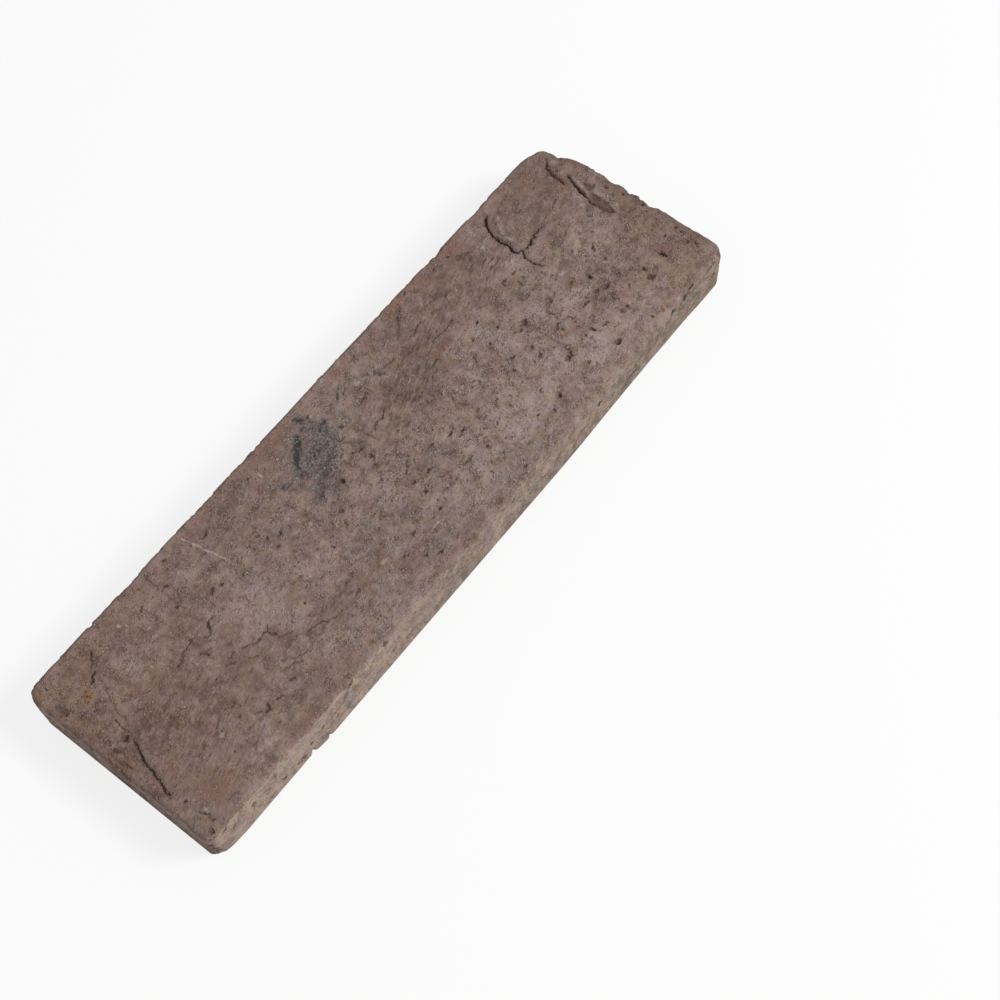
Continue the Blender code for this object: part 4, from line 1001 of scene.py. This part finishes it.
def wandered(x, y, z):
    """Points of the sides and the far end, moved in to the real outline and nibbled at the edges."""
    left = np.interp(x, *zip(*LEFT_SIDE))
    foot = np.interp(x, *zip(*RIGHT_FOOT)) * np.clip(1 - z / THICKNESS_MM, 0, 1) ** 1.3
    right = np.interp(x, *zip(*RIGHT_SIDE)) + foot
    far = np.interp(y, *zip(*FAR_END))
    outward = np.clip(abs(y) / HALF_WIDTH_MM, 0, 1) ** 5
    y = y - outward * np.where(y > 0, left, -right)
    x = x - far * np.clip(x / HALF_LENGTH_MM, 0, 1) ** 12
    places = np.stack([x, y, z], axis=1)
    bitten = sum(
        depth * np.clip(value_noise(places, span, seed) - less, 0, 1) for depth, span, seed, less in NIBBLES
    )
    bitten = bitten * np.clip(z / THICKNESS_MM, 0, 1) ** 2
    y = y * (1 - bitten * (abs(y) / HALF_WIDTH_MM) ** 24 / HALF_WIDTH_MM)
    x = x * (1 - bitten * (abs(x) / HALF_LENGTH_MM) ** 60 / HALF_LENGTH_MM)
    return np.stack([x, y, z], axis=1)


def chipped(points):
    """Points inside a chip's egg are pushed out to its surface."""
    for centre, half_sizes in CHIPS:
        out = points - np.array(centre)
        share = np.linalg.norm(out / np.array(half_sizes), axis=1)
        inside = (share < 1) & (share > 1e-6)
        points = np.where(inside[:, None], np.array(centre) + out / np.maximum(share, 1e-6)[:, None], points)
    return points


def outlined(places):
    """The block's points moved to the slip's outline, all but the relief of its face."""
    x, y, z = worn(*places.T)
    return chipped(wandered(*cornered(x, y), z))


class Surface:
    """The points of the clay in millimetres, with how sunk, dark or stained it is at each."""

    def __init__(self, places, warp):
        points = self.points = outlined(places)
        self.on_back = places[:, 2] < 1e-3
        self.top = np.clip((points[:, 2] - (THICKNESS_MM - WEAR_DOWN)) / WEAR_DOWN, 0, 1) ** 0.5
        self.side = 1 - self.top
        self.near_top = np.clip((points[:, 2] - (THICKNESS_MM - 3)) / 2, 0, 1)
        self.on_right = (points[:, 1] < 4 - HALF_WIDTH_MM) & (self.side > 0)
        self.at_near_end = points[:, 0] < 1.6 - HALF_LENGTH_MM

        # Every feature strays a little from its plain shape
        self.x, self.y = strayed(points, warp, RAGGED_STRAY)
        self.smooth_x, self.smooth_y = strayed(points, warp, SMOOTH_STRAY)
        self.swollen = 1 + 0.45 * value_noise(points, 1.1, 5)
        self.faded = np.clip(0.85 + 0.7 * value_noise(points, 2.2, 6), 0.25, 1)
        names = ("sunk", "step", "fold", "crease", "shade_halo", "hollow", "pit", "paler", "char")
        self.layers = {name: np.zeros(len(places)) for name in names}

    def deepen(self, layer, values):
        """Keeps the larger of a layer's values and the new ones."""
        self.layers[layer] = np.maximum(self.layers[layer], values)

    def cut_creases(self):
        for depth, darkness, step, path in CREASES:
            gap, width, leftward = near_path(self.x, self.y, path)
            share = gap / (width * 0.85 * self.swollen)
            self.deepen("sunk", depth * 0.8 * bell(share))
            # A crease's darkness is painted shade, and so is the soft darkening around it
            self.deepen("crease", darkness * np.clip(1.6 - share, 0, 1))
            self.deepen("shade_halo", darkness * bell(gap))
            self.deepen("step", step * (leftward < 0) * (bell(gap / 3) * np.clip(gap / 0.5, 0, 1)))
        for depth, darkness, path in (*HAIR_CRACKS, *DRAG_MARKS):
            gap, width, _ = near_path(self.x, self.y, path)
            share = gap / (width * self.swollen)
            self.deepen("sunk", depth * 0.7 * bell(share))
            # The same painted shade in hair cracks and drag marks
            self.deepen("crease", darkness * 0.9 * self.faded * np.clip(1.6 - share, 0, 1))
            self.deepen("shade_halo", darkness * 0.6 * bell(gap / 0.8))

    def press_folds(self):
        for depth, darkness, path in HOLLOWS:
            gap, width, _ = near_path(self.smooth_x, self.smooth_y, path)
            floor = bell(gap / width, 4)
            self.deepen("sunk", depth * floor)
            # The darkness in the hollows is painted shade
            self.deepen("hollow", darkness * floor)
        for rise, paleness, path in FOLDS:
            gap, width, _ = near_path(self.smooth_x, self.smooth_y, path)
            ridge = bell(gap / width) * (1 - 0.6 * np.clip(self.layers["hollow"], 0, 1))
            self.deepen("fold", rise * ridge)
            # A fold's paleness is painted highlight on its top; the scratch's paleness is its own colour
            self.deepen("paler", paleness * ridge)

    def open_pits(self):
        for *oval, depth, darkness in PITS:
            reach = oval_reach(self.x, self.y, oval) / (0.85 * self.swollen)
            self.deepen("sunk", depth * 0.8 * np.clip(1 - reach**2, 0, 1))
            # A pit's darkness is painted shade, and so is the soft darkening around it
            self.deepen("pit", darkness * 0.88 * np.clip(1.45 - reach, 0, 1))
            self.deepen("shade_halo", darkness * 0.45 * bell(reach / 1.8))
        self.layers["pit"] *= self.near_top
        height = self.points[:, 2] + self.y + HALF_WIDTH_MM
        for *oval, depth, darkness in SIDE_PITS:
            reach = oval_reach(self.x, height, (*oval, 0)) / self.swollen
            # Painted shade in the pits of the right side
            self.deepen("pit", darkness * np.clip(1.5 - reach, 0, 1) * self.on_right)
            self.points[:, 1] += depth * np.clip(1 - reach**2, 0, 1) * self.on_right

    def shape_face(self):
        """Moves the face up and down by its swellings, folds, steps and hollows."""
        points = self.points
        swelling = blobs(self.x, self.y, SWELLINGS)
        swelling += 0.5 * bell((HALF_WIDTH_MM - points[:, 1]) / 2.5)
        swelling += 0.5 * bell((HALF_LENGTH_MM - points[:, 0]) / 1.6) + self.layers["fold"]
        rise = np.clip(swelling + self.layers["step"], -1, FACE_DROP) - self.layers["sunk"]
        lowered = points[:, 2] * (1 - FACE_DROP / THICKNESS_MM) + self.top * rise
        points[:, 2] = np.where(self.on_back, points[:, 2], lowered)

    def burn_marks(self):
        for strength, path in CHAR_MARKS:
            gap, width, _ = near_path(self.x, self.y, path)
            self.deepen("char", strength * bell(gap / width))

    def rim_shade(self):
        """Painted shade: a dark border under the edges that turn away from the light, and along the left and
        far edges of the face.
        """
        points = self.points
        away = self.at_near_end | (points[:, 1] > HALF_WIDTH_MM - 3) | (points[:, 0] > HALF_LENGTH_MM - 3)
        under = np.clip(self.side * 8, 0, 1) * np.clip(2.6 - self.side * 4, 0, 1)
        under = away * under * np.where(self.at_near_end, 0.15, 1)
        left_gap = HALF_WIDTH_MM - np.interp(points[:, 0], *zip(*LEFT_SIDE)) - points[:, 1]
        far_gap = HALF_LENGTH_MM - np.interp(points[:, 1], *zip(*FAR_END)) - points[:, 0]
        left = 0.9 * self.top * np.clip(1.2 - left_gap / 1.1, 0, 1)
        far = 0.7 * self.top * np.clip(1.2 - far_gap / 1.4, 0, 1)
        return np.maximum(np.maximum(under, left), far)

    def attributes(self):
        """What the material reads at each point, by name."""
        layers, along = self.layers, self.points[:, 0]
        gap, width, _ = near_path(self.x, self.y, SMOOTH_BAND)
        band = bell(gap / width, 8)
        values = {name: blobs(self.x, self.y, spots) for name, spots in SPOTS.items()}
        values["dragged"] = np.maximum(values["dragged"], band)
        # Bloom also carries the painted highlight on the tops of the folds
        values["bloom"] += layers["paler"]
        values["pale"] += 0.85 * self.at_near_end * self.side
        values["brown"] += 0.42 * band
        # Painted shade: the near end darker towards its bottom
        values["brown"] += 0.7 * self.at_near_end * np.clip(1 - self.points[:, 2] / 8, 0, 1)
        return values | {
            "crease": layers["crease"] * self.top,
            "pit": layers["pit"],
            "shade_halo": layers["shade_halo"] * np.maximum(self.top, 0.3 * self.near_top),
            "hollow": layers["hollow"] * self.top,
            "char": layers["char"],
            "side": self.side * np.where(self.at_near_end, 0.05, 1),
            "near_end": self.side * self.at_near_end,
            "rim_shade": self.rim_shade(),
            "layered": self.on_right * np.interp(along, *zip(*LAYERING)),
            "side_tone": np.interp(along, *zip(*SIDE_TONES)),
        }


def near_feature(x, y, reach):
    """Where the mesh needs finer squares: within reach of a crease, a pit or a speck."""
    near = np.zeros(len(x), dtype=bool)
    for *_, path in (*CREASES, *HAIR_CRACKS, *DRAG_MARKS, *HOLLOWS, *FOLDS):
        gap, width, _ = near_path(x, y, path)
        near |= gap < width + reach
    ovals = [pit[:5] for pit in PITS] + [(*spot[:4], 0) for spot in (*BLOOM_PATCHES, *EMBER_SPECKS)]
    for cx, cy, half_x, half_y, turn in ovals:
        if min(half_x, half_y) < SMALL_SPOT:
            near |= oval_reach(x, y, (cx, cy, half_x + reach, half_y + reach, turn)) < 1
    return near


def face_centres(mesh):
    centres = np.empty(len(mesh.polygons) * 3)
    mesh.polygons.foreach_get("center", centres)
    return centres.reshape(-1, 3)


def vertex_places(mesh):
    places = np.empty(len(mesh.vertices) * 3)
    mesh.vertices.foreach_get("co", places)
    return places.reshape(-1, 3)


def move_vertices(mesh, places):
    mesh.vertices.foreach_set("co", places.ravel())
    mesh.update()


def select_only(items, chosen):
    """Selects the chosen faces or edges of the open mesh and nothing else."""
    bpy.ops.object.mode_set(mode="EDIT")
    bpy.ops.mesh.select_all(action="DESELECT")
    bpy.ops.object.mode_set(mode="OBJECT")
    items.foreach_set("select", chosen)
    bpy.ops.object.mode_set(mode="EDIT")


def add_block(pitch):
    """A fine box: a grid for the face, its border drawn down in rows, and a back in strips."""
    bpy.ops.object.select_all(action="DESELECT")
    bpy.ops.mesh.primitive_grid_add(
        x_subdivisions=round(LENGTH / pitch),
        y_subdivisions=round(WIDTH / pitch),
        size=1,
        location=(0, 0, HIGH.z),
    )
    piece = bpy.context.object
    piece.scale = (LENGTH, WIDTH, 1)
    bpy.ops.object.transform_apply(location=True, rotation=False, scale=True)
    bpy.context.tool_settings.mesh_select_mode = (False, True, False)
    bpy.ops.object.mode_set(mode="EDIT")
    bpy.ops.mesh.select_all(action="DESELECT")
    bpy.ops.mesh.select_non_manifold()
    for step in SIDE_STEPS:
        bpy.ops.mesh.extrude_region_move(TRANSFORM_OT_translate={"value": (0, 0, -step * THICKNESS)})
    bpy.ops.object.mode_set(mode="OBJECT")
    close_back(piece.data, pitch)
    return piece


def close_back(mesh, pitch):
    """Strips from side to side across the back, then one strip along each end."""
    edges = np.array([tuple(edge.vertices) for edge in mesh.edges])
    ends = vertex_places(mesh)[edges]
    on_back = (ends[:, :, 2] < LOW.z + 1e-6).all(axis=1)
    on_side = (abs(ends[:, :, 1]) > WIDTH / 2 - 1e-6).all(axis=1)
    inner = (abs(ends[:, :, 0]) < LENGTH / 2 - pitch / 2).all(axis=1)
    select_only(mesh.edges, on_back & on_side & inner)
    bpy.ops.mesh.bridge_edge_loops()
    bpy.ops.mesh.select_all(action="DESELECT")
    bpy.ops.mesh.select_non_manifold()
    bpy.ops.mesh.edge_face_add()
    bpy.ops.object.mode_set(mode="OBJECT")


def refine(mesh, reach):
    """Halves the squares of the face near creases and pits."""
    centres = face_centres(mesh) / MM
    on_face = centres[:, 2] > THICKNESS_MM - 1e-3
    bpy.context.tool_settings.mesh_select_mode = (False, False, True)
    select_only(mesh.polygons, on_face & near_feature(centres[:, 0], centres[:, 1], reach))
    bpy.ops.mesh.subdivide(number_cuts=1)
    bpy.ops.object.mode_set(mode="OBJECT")


def add_group(piece, name, weights):
    """A vertex group that holds each point's weight."""
    group = piece.vertex_groups.new(name=name)
    for index in np.flatnonzero(weights > 0.002):
        group.add([int(index)], float(min(1.0, weights[index])), "REPLACE")


def add_attribute(piece, name, values):
    attribute = piece.data.attributes.new(name, "FLOAT", "POINT")
    attribute.data.foreach_set("value", np.asarray(values, dtype=np.float32))


def displace(piece, name, height, direction, group, span):
    """Moves the points of a group along a direction by a clouds texture."""
    texture = bpy.data.textures.new(name, "CLOUDS")
    texture.noise_scale = span
    texture.noise_depth = 2
    modifier = piece.modifiers.new(name, "DISPLACE")
    modifier.direction = direction
    modifier.vertex_group = group
    modifier.strength = height
    modifier.mid_level = 0.5
    modifier.texture = texture
    modifier.texture_coords = "LOCAL"
    bpy.ops.object.modifier_apply(modifier=modifier.name)


def keep_in_box(mesh):
    """No point lies outside the solid's box."""
    move_vertices(mesh, np.clip(vertex_places(mesh), np.array(LOW), np.array(HIGH)))


def check_mesh(mesh):
    """Stops the work where the clay isn't one closed skin, or has too many triangles."""
    corners = np.empty(len(mesh.loops), dtype=np.int32)
    mesh.loops.foreach_get("edge_index", corners)
    if (np.bincount(corners, minlength=len(mesh.edges)) != 2).any():
        raise RuntimeError("The clay body isn't closed.")
    if len(mesh.loops) - 2 * len(mesh.polygons) >= MOST_TRIANGLES:
        raise RuntimeError("The clay body has too many triangles: use a wider mesh pitch.")


class SLIP_OT_clay(bpy.types.Operator):
    """Adds the brick slip's clay body over its solid"""

    bl_idname = "slip.clay"
    bl_label = "Clay body"

    def execute(self, context):
        sizes = context.scene.slip_sizes
        piece = add_block(sizes.mesh_pitch)
        piece.name = piece.data.name = "weathered_clay"
        for reach in REFINE_REACHES:
            refine(piece.data, reach)

        surface = Surface(vertex_places(piece.data) / MM, sizes.warp / MM)
        surface.cut_creases()
        surface.press_folds()
        surface.open_pits()
        surface.shape_face()
        surface.burn_marks()
        move_vertices(piece.data, surface.points * MM)
        for name, values in surface.attributes().items():
            add_attribute(piece, name, values)

        add_group(piece, "face", surface.top)
        add_group(piece, "edges", np.where(surface.on_back, 0, np.clip(surface.side, 0, 1)))
        displace(piece, "swell", sizes.swell, "Z", "face", 26 * MM)
        displace(piece, "dents", sizes.swell * 0.6, "Z", "face", 7 * MM)
        displace(piece, "rough", sizes.roughness, "Z", "face", 1.6 * MM)
        displace(piece, "edge_dents", sizes.swell * 0.8, "NORMAL", "edges", 5 * MM)
        displace(piece, "edge_rough", sizes.roughness, "NORMAL", "edges", 1.4 * MM)
        keep_in_box(piece.data)
        check_mesh(piece.data)
        bpy.ops.object.shade_smooth_by_angle(angle=SMOOTH_ANGLE)
        piece.data.materials.append(clay_material(context.scene.slip_colours))
        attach(piece, BODY)
        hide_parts(NODE)
        return {"FINISHED"}


def add_floor(floor_colour):
    bpy.ops.object.select_all(action="DESELECT")
    bpy.ops.mesh.primitive_plane_add(size=FLOOR_SIZE, location=(0, 0, LOW.z))
    floor = bpy.context.object
    floor.name = "studio_floor"
    floor.data.materials.append(floor_material(floor_colour))


def add_sky(scene):
    """An even sky that looks white to the camera."""
    scene.world = bpy.data.worlds.new("studio_sky")
    nodes = Nodes(scene.world)
    lit = nodes.value("ShaderNodeBackground", None, {"Color": colour(PLAIN), "Strength": SKY_STRENGTH})
    seen = nodes.value("ShaderNodeBackground", None, {"Color": colour(PLAIN)})
    direct = Value(nodes, nodes.add("ShaderNodeLightPath").outputs["Is Camera Ray"])
    shader = nodes.value("ShaderNodeMixShader", None, {0: direct, 1: lit, 2: seen})
    nodes.add("ShaderNodeOutputWorld", None, {"Surface": shader})


def add_light(name, place, size, power):
    bpy.ops.object.select_all(action="DESELECT")
    bpy.ops.object.light_add(type="AREA", location=place)
    light = bpy.context.object
    light.name = name
    light.rotation_euler = (-Vector(place)).to_track_quat("-Z", "Y").to_euler()
    light.data.shape = "DISK"
    light.data.size = size
    light.data.energy = power


def add_camera(scene):
    bpy.ops.object.select_all(action="DESELECT")
    bpy.ops.object.camera_add(location=CAMERA_PLACE)
    camera = bpy.context.object
    camera.name = "camera"
    aimed = (CAMERA_AIM - CAMERA_PLACE).to_track_quat("-Z", "Y").to_matrix()
    camera.rotation_euler = (aimed @ Matrix.Rotation(CAMERA_ROLL, 3, "Z")).to_euler()
    camera.data.lens = CAMERA_LENS_MM
    camera.data.sensor_width = SENSOR_MM
    camera.data.clip_start = 0.01
    scene.camera = camera


class SLIP_OT_studio(bpy.types.Operator):
    """Adds the floor, the lights and the camera"""

    bl_idname = "slip.studio"
    bl_label = "Studio"

    def execute(self, context):
        scene = context.scene
        add_floor(scene.slip_colours.floor)
        add_sky(scene)
        for light in LIGHTS:
            add_light(*light)
        add_camera(scene)
        scene.view_settings.view_transform = "Standard"
        if scene.camera is None or scene.world is None:
            raise RuntimeError("The studio has no camera or no sky.")
        return {"FINISHED"}


class SLIP_PT_panel(bpy.types.Panel):
    bl_idname = "SLIP_PT_panel"
    bl_label = "Brick slip"
    bl_space_type = "VIEW_3D"
    bl_region_type = "UI"
    bl_category = "Brick slip"

    def draw(self, context):
        layout = self.layout
        for group in (context.scene.slip_sizes, context.scene.slip_colours):
            for name in group.__annotations__:
                layout.prop(group, name)
        layout.operator(SLIP_OT_clay.bl_idname)
        layout.operator(SLIP_OT_studio.bl_idname)


CLASSES = (SlipSizes, SlipColours, SLIP_OT_clay, SLIP_OT_studio, SLIP_PT_panel)


def register():
    for cls in CLASSES:
        bpy.utils.register_class(cls)
    bpy.types.Scene.slip_sizes = bpy.props.PointerProperty(type=SlipSizes)
    bpy.types.Scene.slip_colours = bpy.props.PointerProperty(type=SlipColours)


def unregister():
    del bpy.types.Scene.slip_colours
    del bpy.types.Scene.slip_sizes
    for cls in reversed(CLASSES):
        bpy.utils.unregister_class(cls)


def main():
    register()
    bpy.ops.slip.clay()
    bpy.ops.slip.studio()


if __name__ == "__main__":
    main()
